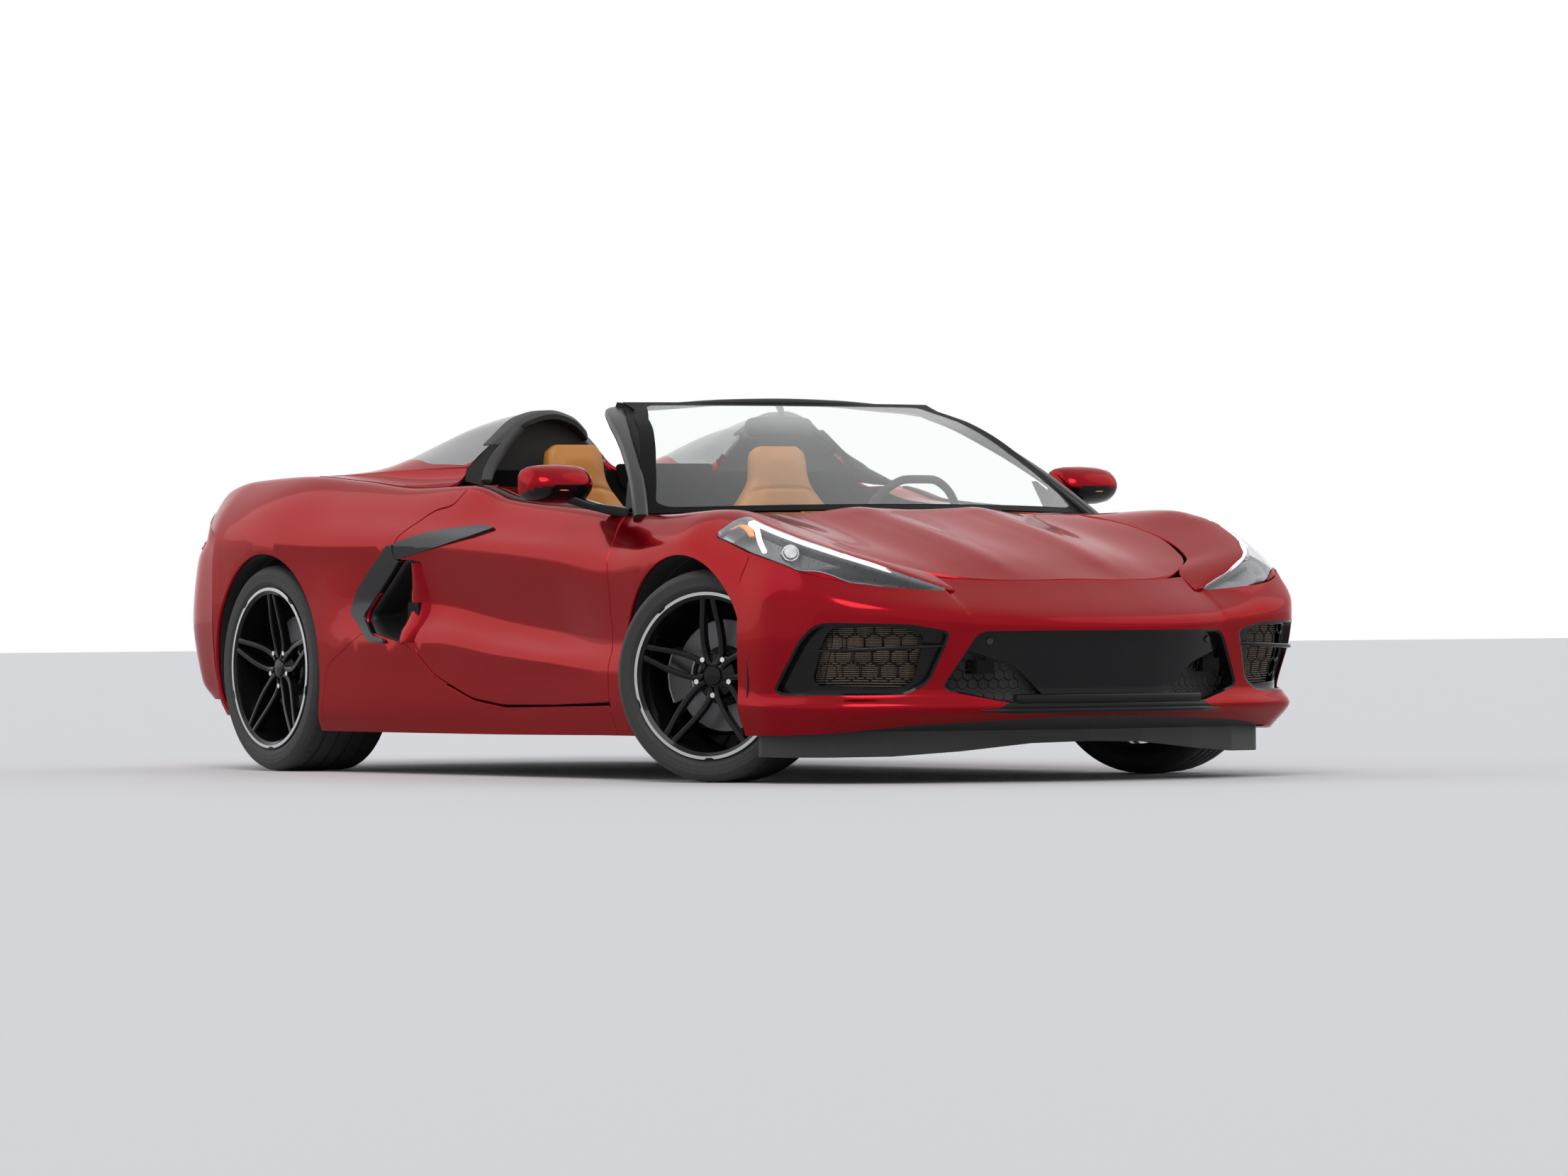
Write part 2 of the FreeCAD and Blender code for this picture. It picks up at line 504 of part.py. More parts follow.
# Windscreen frame, cowl and glass
pillar = bar(pillar_rows, 50, 38)
header = bar(list(header_rows) + [(x, -y, z) for x, y, z in header_rows[-2::-1]], 86, 26)
frame_piece = one(fused([pillar, mirrored(pillar), header]).cut([wing, mirrored(wing)]))
save("windscreen_frame", frame_piece)
screen_sections = []
for y in (-860, -760, -640, -480, -320, -160, 0, 160, 320, 480, 640, 760, 860):
    outer = [(x - bow * (y / 1000) ** 2, y, z - 0.04 * bow * (y / 1000) ** 2) for x, z, bow in screen_rows]
    screen_sections.append(outer + [(x - 4, y, z - 5) for x, y, z in outer[::-1]])
screen_edge = [(y, z) for x, y, z in pillar_rows]
screen = loft(screen_sections).common(prism(screen_edge + [(-y, z) for y, z in screen_edge[::-1]], "x", 0, 1300))
screen = one(screen.cut([frame_piece, wing, mirrored(wing)]))
save("windscreen", screen)
cowl_sections = []
for y in (-740, -600, -420, -240, 0, 240, 420, 600, 740):
    back = screen_rows[0][0] - screen_rows[0][2] * (y / 1000) ** 2
    front = max(1175 - 250 * (y / 1000) ** 2 - panel_gap - 4, back + 20)
    cowl_sections.append([(back - 60, y, 806), (front, y, 806), (front, y, 822), (back - 60, y, 828)])
cowl = one(loft(cowl_sections).cut([screen, frame_piece, wing, mirrored(wing)]))
save("cowl", cowl)

# Wheels, built about their own axis with +Y outboard, then placed on their axles


def turned(profile, segments):
    """A ring about the Y axis from a closed profile of (radius, y), as flat facets."""
    rings = []
    for k in range(segments):
        a = 2 * math.pi * k / segments
        rings.append([FreeCAD.Vector(r * math.cos(a), y, r * math.sin(a)) for r, y in profile])
    faces = []
    for k in range(segments):
        ring, after = rings[k], rings[(k + 1) % segments]
        for i in range(len(profile)):
            j = (i + 1) % len(profile)
            if profile[i][0] < 1e-6 and profile[j][0] < 1e-6:
                continue
            if profile[i][0] < 1e-6:
                faces.append(Part.Face(Part.makePolygon([ring[i], ring[j], after[j], ring[i]])))
            elif profile[j][0] < 1e-6:
                faces.append(Part.Face(Part.makePolygon([ring[i], ring[j], after[i], ring[i]])))
            else:
                faces += facets(ring[i], ring[j], after[j], after[i])
    return solid_of(faces)


def local_loft(sections):
    """A loft of four-cornered sections in the wheel's own frame."""
    rings = [[FreeCAD.Vector(*p) for p in section] for section in sections]
    faces = []
    for ring, after in zip(rings, rings[1:]):
        for i in range(4):
            faces += facets(ring[i], ring[(i + 1) % 4], after[(i + 1) % 4], after[i])
    return solid_of(faces + facets(*rings[0]) + facets(*rings[-1]))


def tyre(axle):
    """A carcass with a crowned tread, round shoulders and bulged side walls."""
    half, radius, seat, flange = axle["width"] / 2, axle["radius"], axle["rim"] / 2 - 10.5, axle["flange"]
    outside = [(axle["bead"] + seat_gap, seat), (flange + 0.5, seat + 4), (flange + 16, half - 2),
               ((flange + radius) / 2 + 6, half), (radius - 12, half - 9), (radius - 3, half - 24), (radius, half - 60)]
    return turned([(r, -y) for r, y in outside] + outside[::-1], wheel_facets)


def rim(axle):
    """A barrel with two flanges, a hub, twin-blade spokes and wheel nuts."""
    half, bead, flange, face = axle["rim"] / 2, axle["bead"], axle["flange"], axle["face"]
    barrel = turned([(bead - 12, -half), (flange, -half), (flange, -half + 6), (bead, -half + 9), (bead, half - 10),
                     (flange, half - 6), (flange, half), (flange - 12, half + 2), (bead - 8, half - 10),
                     (bead - 12, half - 30)], wheel_facets)
    hub_front, hub_back = face - 34, face - 76
    hub = turned([(0, hub_front + 4), (34, hub_front + 4), (hub_radius - 8, hub_front - 4), (hub_radius, hub_front - 18),
                  (hub_radius, hub_back), (0, hub_back)], 20)
    pieces = [hub]
    for k in range(spoke_count):
        for sign in (1, -1):
            # radius, sideways place, half breadth, face level, depth
            rows = ((44, 24, 13, -38, 30), (96, 31, 10, -30, 30), (170, 25, 10, -16, 30), (bead - 9, 17, 11, -4, 26))
            blade_piece = local_loft([
                [(place * sign - wide, face + level, r), (place * sign + wide, face + level, r),
                 (place * sign + wide * 0.7, face + level - deep, r), (place * sign - wide * 0.7, face + level - deep, r)]
                for r, place, wide, level, deep in rows])
            blade_piece.rotate(FreeCAD.Vector(), FreeCAD.Vector(0, 1, 0), k * 360 / spoke_count)
            pieces.append(blade_piece)
        a = math.radians((k + 0.5) * 360 / spoke_count)
        nut = turned([(0, hub_front + 6), (nut_radius, hub_front + 6), (nut_radius, hub_front - 30), (0, hub_front - 30)], 6)
        nut.translate(FreeCAD.Vector(stud_circle_radius * math.sin(a), 0, stud_circle_radius * math.cos(a)))
        pieces.append(nut)
    return one(barrel.fuse(pieces))


def disc_levels(axle):
    """Back and front of the brake disc along the axle, from the hub's back face."""
    hub_back = axle["face"] - 76
    return hub_back - 34 - disc_thickness, hub_back - 34, hub_back


def disc(axle):
    back, front, hub_back = disc_levels(axle)
    return turned([(0, back + 6), (88, back + 6), (96, back), (axle["disc"], back), (axle["disc"], front), (92, front),
                   (84, hub_back), (0, hub_back)], 36)


def caliper(axle, middle_deg):
    """A bridge over the disc's edge with a slot where the disc runs."""
    back, front, _ = disc_levels(axle)
    radius = axle["disc"]
    sections = []
    for step in range(-2, 3):
        a = math.radians(middle_deg + 13 * step)
        profile = ((radius - 70, back - 28), (radius + 19, back - 28), (radius + 19, front + 24), (radius - 70, front + 24),
                   (radius - 70, front + 7), (radius + 7, front + 7), (radius + 7, back - 7), (radius - 70, back - 7))
        sections.append([FreeCAD.Vector(r * math.cos(a), y, r * math.sin(a)) for r, y in profile])
    faces = []
    for ring, after in zip(sections, sections[1:]):
        for i in range(8):
            faces += facets(ring[i], ring[(i + 1) % 8], after[(i + 1) % 8], after[i])
    for ring in (sections[0], sections[-1]):
        faces += facets(ring[0], ring[1], ring[6], ring[7]) + facets(ring[1], ring[2], ring[5], ring[6])
        faces += facets(ring[2], ring[3], ring[4], ring[5])
    return solid_of(faces)


def knuckle(axle, caliper_deg):
    """An upright on the kingpin line with a spindle to the hub and the arm that holds the caliper."""
    back, _, _ = disc_levels(axle)
    pin_y = kingpin_y - axle["track"]
    side = math.copysign(1, math.cos(math.radians(caliper_deg)))
    upright = turned([(0, -ball_height), (26, -ball_height), (26, ball_height), (0, ball_height)], 16)
    upright.rotate(FreeCAD.Vector(), FreeCAD.Vector(1, 0, 0), 90)
    upright.translate(FreeCAD.Vector(0, pin_y, 0))
    spindle = turned([(0, pin_y - 30), (44, pin_y - 30), (50, back + 5.7), (0, back + 5.7)], 16)
    arm = Part.makeBox(118, 22, 44, FreeCAD.Vector(0 if side > 0 else -118, back - 46, -22))
    return one(upright.fuse([spindle, arm, caliper(axle, caliper_deg)]))


def placed(shape, axle, side):
    """A wheel piece on its axle: side is +1 left or -1 right, turned about the kingpin as parked."""
    copy = shape.copy() if side > 0 else mirrored(shape)
    copy.translate(FreeCAD.Vector(axle["x"], side * axle["track"], axle["radius"]))
    if axle["steer"]:
        copy.rotate(FreeCAD.Vector(axle["x"], side * kingpin_y, 0), FreeCAD.Vector(0, 0, 1), axle["steer"])
    return copy


for name, axle in axles.items():
    shapes = {"tyre": tyre(axle), "rim": rim(axle), "disc": disc(axle)}
    for side_name, side in (("left", 1), ("right", -1)):
        for piece, shape in shapes.items():
            save(f"{piece}_{name}_{side_name}", placed(shape, axle, side))
knuckle_front = knuckle(axles["front"], 180.0)
save("knuckle_left", placed(knuckle_front, axles["front"], 1))
save("knuckle_right", placed(knuckle_front, axles["front"], -1))
rear_knuckle = knuckle(axles["rear"], 0.0)
save("rear_knuckles", placed(rear_knuckle, axles["rear"], 1), placed(rear_knuckle, axles["rear"], -1))

# Wishbones from the rails to the kingpins, and the cross members that carry them
rail_y = {"front": 440.0, "rear": 480.0}
arms = []
for name, axle in axles.items():
    x, z = axle["x"], axle["radius"]
    for level in (-1, 1):
        eye_z = z + level * (ball_height + seat_gap + arm_eye / 2)
        eye = Part.makeCylinder(28, arm_eye, FreeCAD.Vector(x, kingpin_y, eye_z - arm_eye / 2))
        legs = [eye]
        for reach in (-150, 150):
            start = FreeCAD.Vector(x + reach, rail_y[name] - 6, eye_z)
            run = FreeCAD.Vector(x, kingpin_y - 16, eye_z) - start
            across = run.cross(FreeCAD.Vector(0, 0, 1)).normalize()
            legs.append(local_loft([four_sided(p, across * 13, FreeCAD.Vector(0, 0, 9)) for p in (start, start + run)]))
        arms.append(legs[0].fuse(legs[1:]))
arm_set = arms + [mirrored(arm) for arm in arms]
members = []
for name, axle in axles.items():
    x, z = axle["x"], axle["radius"]
    for reach in (-150, 150):
        member = Part.makeBox(44, 2 * rail_y[name], 270, FreeCAD.Vector(x + reach - 22, -rail_y[name], z - 135))
        members.append(member.cut(Part.makeBox(46, 2 * rail_y[name] - 120, 200,
                                               FreeCAD.Vector(x + reach - 23, -rail_y[name] + 60, z - 100))))
save("wishbones", *[one(arm.cut(members)) for arm in arm_set])

# Wheel arch liners, open where the wishbones pass
liners = []
for axle in axles.values():
    liner = arch_cutter(axle, axle["arch"] - 0.3, arch_inner_y, 870).cut(
        [arch_cutter(axle, axle["arch"] - 5, arch_inner_y + 5),
         Part.makeBox(900, 500, 400, FreeCAD.Vector(axle["x"] - 450, 500, -240)),
         Part.makeBox(280, 20, 460, FreeCAD.Vector(axle["x"] - 140, arch_inner_y - 5, 0))])
    liners.append(liner)
liners = [one(liner.cut([wing, quarter, bumper, rear_bumper, sill])) for liner in liners]
save("arch_liners", *[piece for liner in liners for piece in (liner, mirrored(liner))])

# Tub: floor, sills, bulkheads, front boot, rails and the brackets out to the skin, welded into one
cabin_rear_x, cabin_front_x = -400.0, 935.0
tub_boxes = [
    (-1000, 925, -835, 835, belly_z + 2, belly_z + 28),
    (-960, 860, 700, 796, belly_z + 20, 330), (-960, 860, -796, -700, belly_z + 20, 330),
    (cabin_front_x - 10, cabin_front_x + 20, -690, 690, belly_z + 2, 790),
    (cabin_front_x - 10, 1000, 690, 806, belly_z + 2, 806), (cabin_front_x - 10, 1000, -806, -690, belly_z + 2, 806),
    (cabin_rear_x - 40, cabin_rear_x, -738, 738, belly_z + 2, 990),
    (785, cabin_front_x, 730, 798, belly_z + 20, 640), (785, cabin_front_x, -798, -730, belly_z + 20, 640),
    (-340, 930, -104, 104, belly_z + 20, 330),
    (-2140, cabin_rear_x - 30, 420, 480, 440, 500), (-2140, cabin_rear_x - 30, -480, -420, 440, 500),
    (-2140, -2090, -480, 480, 440, 500),
    (-440, -370, 700, 940, 500, 560), (-440, -370, -940, -700, 500, 560),
    (-1900, -1850, 420, 960, 450, 490), (-1900, -1850, -960, -420, 450, 490),
    (-2290, -2100, 380, 440, 450, 490), (-2290, -2100, -440, -380, 450, 490),
    (-1345, -1337, -720, 720, 500, 1010), (900, 1000, 640, 830, 760, 800), (900, 1000, -830, -640, 760, 800),
    (-1050, -1010, 420, 950, 450, 480), (-1050, -1010, -950, -420, 450, 480),
    (-2140, -2100, -700, 700, 860, 880), (-2140, -2110, 380, 440, 490, 880), (-2140, -2110, -440, -380, 490, 880),
]
front_boxes = [
    (930, 2060, 390, 440, 300, 380), (930, 2060, -440, -390, 300, 380), (2000, 2060, -440, 440, 300, 380),
    (2030, 2190, 380, 440, 330, 370), (2030, 2190, -440, -380, 330, 370),
    (1700, 1740, 390, 950, 320, 360), (1700, 1740, -950, -390, 320, 360),
]
boot_floor = prism(((955, 340), (1990, 340), (1990, 600), (1960, 625), (1700, 705), (1400, 800), (1190, 835),
                    (1180, 785), (955, 800)), "y", -386, 386)
boot_hollow = prism(((965, 350), (1980, 350), (1980, 660), (965, 860)), "y", -376, 376)
cooler = Part.makeBox(24, 1080, 200, fit(2060, -540, 240))
tub = fused([box(*sizes) for sizes in tub_boxes])
rear_boot = box(-2085, -1790, -418, 418, 500, 940).cut(box(-2077, -1798, -410, 410, 508, 960))
runners = [box(-160, 300, y - 12, y + 12, belly_z + 20, 200) for y in (210, 570, -210, -570)]
tub = tub.fuse(runners + [rear_boot])
outer_skin = [bumper, wing, mirrored(wing), quarter, mirrored(quarter), sill, mirrored(sill), rear_bumper, spoiler,
              frame_piece, cowl, screen, lamp, mirrored(lamp), tail_lamps[0], tail_lamps[1]]
inside_of_skin = [front_arch, mirrored(front_arch), rear_arch, mirrored(rear_arch)]
tub = tub.fuse(members[2:] + hinge_arms + [mirrored(arm) for arm in hinge_arms])
rests = []
for cover_piece in (cover, boot_lid, lid):
    lowered = cover_piece.copy()
    lowered.translate(FreeCAD.Vector(0, 0, -seat_gap))
    rests += [cover_piece, lowered]
tub = one(tub.cut(outer_skin + inside_of_skin + rests))
boot = one(boot_floor.cut([boot_hollow, tub] + outer_skin + rests))
front_frame = fused([box(*sizes) for sizes in front_boxes]).fuse(members[:2])
front_frame = one(front_frame.cut(outer_skin + inside_of_skin[:2] + [boot_hollow, boot, tub]))
structure = [tub, boot, front_frame]
save("tub", tub)
save("front_boot", boot)
save("front_frame", front_frame)
save("radiator", cooler.cut(structure + [bumper]))
engine = box(-1225, -470, -300, 300, 190, 760).cut(tub)
mounts = fused([box(-900, -820, 298, 425, 430, 480), box(-900, -820, -425, -298, 430, 480)])
save("engine", one(engine.fuse(mounts).cut(tub)))

# Grilles: a mesh behind the middle opening and blades across the side intakes
lattice = [box(2150, 2158, -520, 520, z, z + 7) for z in range(256, 450, 24)]
lattice += [box(2150, 2158, y - 3.5, y + 3.5, 240, 460) for y in range(-480, 481, 32)]
lattice += [box(2140, 2158, -560, 560, 232, 246), box(2140, 2158, -500, 500, 452, 470)]
save("centre_grille", one(fused(lattice).cut([bumper] + structure)))
side_blades = [box(1905, 1913, 560, 900, 262, 492)]
side_blades += [loft([[(x - 26, y, z), (x + 20, y, z - 3), (x + 20, y, z + 9), (x - 26, y, z + 9)]
                      for x, y in ((2070, 585), (1985, 780), (1925, 884))]) for z in (330, 400)]
side_blades += [box(1905, 2080, 575, 583, 300, 460)]
save_pair("side_grilles", one(fused(side_blades).cut([bumper, front_arch] + structure)))

# Splitter lip under the bumper, air dam and undertray
lip = [four_sided((c[4][0] - 16, c[4][1], 217), (20, 0, 4), (0, 0, 12)) for c in nose_columns[:4]]
lip = loft([[(x, -y, z) for x, y, z in c] for c in lip[:0:-1]] + lip)
save("splitter", one(lip.cut(bumper)))
dam = []
for x, y, low in ((2130, 0, 122), (2110, 200, 118), (2060, 420, 96), (1985, 620, 82), (1880, 780, 80), (1760, 868, 80),
                  (1690, 900, 82)):
    dam.append(four_sided((x, y, (low + 160) / 2), (9, 0, 0), (0, 0, (160 - low) / 2)))
dam = loft([[(x, -y, z) for x, y, z in c] for c in dam[:0:-1]] + dam)
tray = prism(((2125, 0), (2050, 420), (1980, 610), (1880, 770), (1750, 862), (1692, 880), (1692, 300), (915, 300),
              (915, -300), (1692, -300), (1692, -880), (1750, -862), (1880, -770), (1980, -610), (2050, -420)),
             "z", 150, 162)
tray = one(tray.fuse(dam).cut([bumper, wing, mirrored(wing)] + structure))
save("undertray", tray)

# Diffuser with fins, and the exhaust tips
diffuser = loft([[(-2262, y, 322), (-2190, y, 246), (-1960, y, 160), (-1960, y, 174), (-2190, y, 262), (-2255, y, 334)]
                 for y in (-560, 560)])
fins = [prism(((-2250, 318), (-1962, 160), (-1962, 128), (-2200, 170)), "y", y - 5, y + 5) for y in (-420, -140, 140, 420)]
struts = [box(-2120, -2100, y - 20, y + 20, 200, 445) for y in (-410, 410)]
diffuser = one(diffuser.fuse(fins + struts).cut([rear_bumper, tub]))
save("diffuser", diffuser)
tips = []
for y in tip_places:
    pipe = turned([(tip_radius - tip_wall, 0), (tip_radius, 0), (tip_radius, 200), (tip_radius - tip_wall, 200)], 20)
    pipe.rotate(FreeCAD.Vector(), FreeCAD.Vector(0, 0, 1), -90)
    pipe.translate(fit(-2235, y, tip_height))
    tips.append(pipe)
silencer = box(-2060, -1930, -700, 700, tip_height - 75, tip_height + 75)
save("exhaust_tips", *[one(tip.cut([silencer, diffuser, rear_bumper])) for tip in tips])
hangers = [box(-2010, -1980, y - 20, y + 20, tip_height + 74, 442) for y in (-450, 450)]
save("silencer", one(silencer.fuse(hangers).cut([tub, diffuser, rear_bumper])))

# Cabin: seats, dashboard, console, steering wheel, door-side trim is on the doors; wipers on the cowl
seat_base = loft([[(back, -half, z), (front, -half + 20, z), (front, half - 20, z), (back, half, z)]
                  for z, back, front, half in ((200.3, -190, 330, 245), (300, -220, 350, 258), (352, -225, 320, 250))])
seat_back = loft([[(front, -half, z), (front, half, z), (front - deep, half - 20, z), (front - deep, -half + 20, z)]
                  for z, front, half, deep in ((250, -120, 246, 120), (560, -190, 262, 120), (800, -240, 262, 105),
                                               (930, -262, 190, 90), (1085, -290, 120, 60))])
seat = one(seat_base.fuse(seat_back))
seats = []
for y in (390, -390):
    copy = seat.copy()
    copy.translate(FreeCAD.Vector(0, y, 0))
    seats.append(copy)
save("seats", *seats)
dash_outline = ((925, 470), (925, 790), (800, 832), (640, 800), (600, 740), (650, 640), (780, 560), (820, 470))
dash = one(prism(dash_outline, "y", -738, 738).cut([tub, cowl]))
save("dashboard", dash)
console_outline = ((860, 330), (-310, 330), (-310, 470), (100, 462), (560, 560), (680, 640), (760, 640), (790, 560),
                   (860, 500))
save("console", one(prism(console_outline, "y", -104, 104).cut(prism(dash_outline, "y", -740, 740)).cut(tub)))
ring = turned([(164, -13), (178, -15), (192, -13), (194, 0), (192, 13), (178, 15), (164, 13), (162, 0)], 28)
ring.rotate(FreeCAD.Vector(), FreeCAD.Vector(0, 0, 1), 90)
spokes = [Part.makeBox(18, 336, 34, FreeCAD.Vector(-6, -168, -14)), Part.makeBox(18, 40, 170, FreeCAD.Vector(-6, -20, -172)),
          Part.makeBox(48, 130, 110, FreeCAD.Vector(-18, -65, -60)), Part.makeBox(230, 60, 60, FreeCAD.Vector(10, -30, -30))]
steering_wheel = ring.fuse(spokes)
steering_wheel.rotate(FreeCAD.Vector(), FreeCAD.Vector(0, 1, 0), 22)
steering_wheel.translate(fit(500, 390, 785))
save("steering_wheel", one(steering_wheel.cut(dash)))
wipers = []
for pivot_y, tip_y in ((330, -190), (-200, -700)):
    rows = []
    for k in (0, 0.5, 1):
        y = pivot_y + (tip_y - pivot_y) * k
        x = 1118 - 378 * (y / 1000) ** 2
        rows.append(four_sided((x, y, 836), (9, 0, 0), (0, 0, 4)))
    wiper = loft(rows).fuse(box(1106, 1130, pivot_y - 12, pivot_y + 12, 815, 834))
    wipers.append(one(wiper.cut([cowl, screen, frame_piece])))
save("wipers", *wipers)
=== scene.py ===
import math

import bmesh
import bpy
import numpy as np
from mathutils import Matrix, Vector
from mathutils.bvhtree import BVHTree
from mathutils.geometry import delaunay_2d_cdt


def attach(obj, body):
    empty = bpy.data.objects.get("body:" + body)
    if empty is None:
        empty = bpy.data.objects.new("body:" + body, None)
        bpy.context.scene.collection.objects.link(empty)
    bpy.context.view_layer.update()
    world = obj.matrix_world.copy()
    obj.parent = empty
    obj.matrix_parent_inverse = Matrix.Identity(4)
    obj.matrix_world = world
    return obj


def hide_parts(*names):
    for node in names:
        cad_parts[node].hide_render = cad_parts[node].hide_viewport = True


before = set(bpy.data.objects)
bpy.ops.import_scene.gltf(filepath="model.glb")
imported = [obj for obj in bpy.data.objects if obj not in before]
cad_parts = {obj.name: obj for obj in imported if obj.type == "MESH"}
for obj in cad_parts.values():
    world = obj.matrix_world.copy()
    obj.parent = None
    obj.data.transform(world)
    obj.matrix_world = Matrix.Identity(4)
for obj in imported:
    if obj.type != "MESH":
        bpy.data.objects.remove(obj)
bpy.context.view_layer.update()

# Studio: a pale floor that keeps the car's shadow, a white surround and three wide soft lamps.
# The camera stands low and far off the right front corner with a long lens, as in the photograph.
camera_place = (22.285, -13.407, 0.512)
yaw, pitch, roll = (math.radians(a) for a in (148.55, 0.191, -0.415))
floor_half = 90


def in_scene(name, data):
    """A new object with that data, at the scene's origin."""
    made = bpy.data.objects.new(name, data)
    bpy.context.scene.collection.objects.link(made)
    return made


cam_data = bpy.data.cameras.new("camera")
cam = in_scene("camera", cam_data)
cam_data.lens, cam_data.sensor_width = 183.04, 36.0
cam_data.clip_start, cam_data.clip_end = 0.5, 300.0
ahead = Vector((math.cos(yaw) * math.cos(pitch), math.sin(yaw) * math.cos(pitch), math.sin(pitch)))
level = Vector((math.sin(yaw), -math.cos(yaw), 0.0))
above = level.cross(ahead)
right = math.cos(roll) * level + math.sin(roll) * above
up = math.cos(roll) * above - math.sin(roll) * level
cam.matrix_world = Matrix((*[(right[k], up[k], -ahead[k], camera_place[k]) for k in range(3)], (0, 0, 0, 1)))
bpy.context.scene.camera = cam
bpy.context.scene.view_settings.view_transform = "Standard"

world = bpy.data.worlds.new("surround")
bpy.context.scene.world = world
world.use_nodes = True
tree = world.node_tree
tree.nodes.clear()
rays = tree.nodes.new("ShaderNodeLightPath")
seen = rays.outputs["Is Camera Ray"]
for kind in ("Is Transmission Ray", "Is Glossy Ray"):
    either = tree.nodes.new("ShaderNodeMath")
    either.operation = "MAXIMUM"
    tree.links.new(seen, either.inputs[0])
    tree.links.new(rays.outputs[kind], either.inputs[1])
    seen = either.outputs[0]
mix = tree.nodes.new("ShaderNodeMixShader")
tree.links.new(seen, mix.inputs[0])
for socket, colour, strength in ((1, (0.80, 0.87, 1.0, 1), 0.34), (2, (1, 1, 1, 1), 1.0)):
    backdrop = tree.nodes.new("ShaderNodeBackground")
    backdrop.inputs[0].default_value, backdrop.inputs[1].default_value = colour, strength
    tree.links.new(backdrop.outputs[0], mix.inputs[socket])
out = tree.nodes.new("ShaderNodeOutputWorld")
tree.links.new(mix.outputs[0], out.inputs[0])

for name, toward, spread, strength, colour in (
    ("key_lamp", (-0.62, 0.50, -0.80), 38.0, 1.35, (1.0, 0.98, 0.95)),
    ("fill_lamp", (0.75, 0.55, -0.55), 60.0, 0.55, (0.94, 0.97, 1.0)),
    ("back_lamp", (-0.2, -0.8, -0.6), 60.0, 0.45, (0.96, 0.98, 1.0)),
):
    light = bpy.data.lights.new(name, "SUN")
    light.angle, light.energy, light.color = math.radians(spread), strength, colour
    lamp_object = in_scene(name, light)
    lamp_object.matrix_world = Vector(toward).to_track_quat("-Z", "Y").to_matrix().to_4x4()

floor_mesh = bpy.data.meshes.new("floor")
floor_mesh.from_pydata([(x * floor_half, y * floor_half, 0) for x, y in ((-1, -1), (1, -1), (1, 1), (-1, 1))],
                       [], [(0, 1, 2, 3)])
floor = in_scene("floor", floor_mesh)
floor_finish = bpy.data.materials.new("pale_floor")
floor_finish.use_nodes = True
floor_shader = floor_finish.node_tree.nodes["Principled BSDF"]
floor_shader.inputs["Base Color"].default_value = (0.80, 0.79, 0.78, 1)
floor_shader.inputs["Roughness"].default_value = 0.75
floor_mesh.materials.append(floor_finish)

# Body side: pressed composite panels in a deep metallic red under clear lacquer. Seven lines run from the
# rocker up to the crown; every panel of the side is cut from the sheet through them along its shut lines.
sides = ((1, "left"), (-1, "right"))
side_lines = (
    ((-2120, 850, 240), (-1800, 895, 185), (-1010, 925, 138), (0, 915, 136), (865, 915, 140),
     (1700, 925, 146)),
    ((-2120, 880, 330), (-1800, 925, 250), (-1010, 955, 205), (-400, 945, 213), (180, 935, 226),
     (865, 945, 240), (1700, 952, 235)),
    ((-2120, 890, 430), (-1800, 940, 400), (-1010, 962, 430), (-550, 958, 436), (-250, 952, 440),
     (150, 950, 400), (500, 948, 372), (865, 950, 345), (1700, 954, 330)),
    ((-2120, 892, 560), (-1800, 950, 560), (-1010, 962, 560), (-550, 940, 560), (-250, 908, 545),
     (150, 900, 492), (500, 905, 458), (865, 932, 430), (1700, 954, 440)),
    ((-2120, 850, 720), (-1960, 900, 735), (-1800, 945, 750), (-1407, 966, 768), (-1010, 964, 757),
     (-550, 955, 750), (-250, 950, 738), (150, 952, 716), (500, 952, 690), (865, 953, 655), (1100, 960, 672),
     (1315, 962, 700), (1500, 958, 640), (1660, 948, 579), (1780, 942, 569), (1890, 906, 553),
     (1980, 860, 539), (2050, 800, 528), (2110, 700, 515)),
    ((-2120, 800, 820), (-1960, 858, 852), (-1800, 895, 872), (-1407, 925, 885), (-1010, 915, 858),
     (-550, 905, 838), (-250, 905, 822), (150, 906, 792), (500, 908, 770), (865, 910, 752), (1100, 915, 772),
     (1315, 915, 782), (1440, 912, 752), (1654, 905, 697), (1873, 870, 642), (1990, 760, 608),
     (2050, 615, 590), (2068, 475, 581)),
    ((-2120, 755, 890), (-2010, 765, 950), (-1800, 780, 978), (-1407, 798, 987), (-1010, 805, 964),
     (-550, 828, 934), (-200, 838, 936), (50, 838, 888), (500, 836, 852), (800, 838, 828), (1050, 825, 826),
     (1230, 808, 834), (1315, 803, 837), (1405, 804, 836), (1500, 818, 820), (1598, 835, 795),
     (1668, 825, 774), (1775, 800, 742), (1928, 720, 688), (2011, 600, 637), (2068, 459, 583)),
)
# The eighth line is each panel's inner edge: the quarter's at the deck, the door's at the glass, the wing's
# at the lamp and the front lid.
quarter_edge = ((-2120, 742, 892), (-2010, 742, 952), (-1800, 742, 980), (-1407, 742, 989), (-1010, 742, 966),
                (-550, 742, 936), (-200, 742, 938))
door_edge = ((-520, 752, 931), (-200, 752, 933), (50, 752, 885), (500, 750, 849), (880, 752, 824))
wing_edge = ((792, 822, 827), (868, 812, 826), (910, 765, 826), (960, 712, 827), (1020, 656, 829),
             (1085, 604, 828), (1200, 597, 822), (1400, 616, 794), (1640, 617, 741), (1850, 561, 676),
             (1960, 447, 631), (2068, 438, 583))
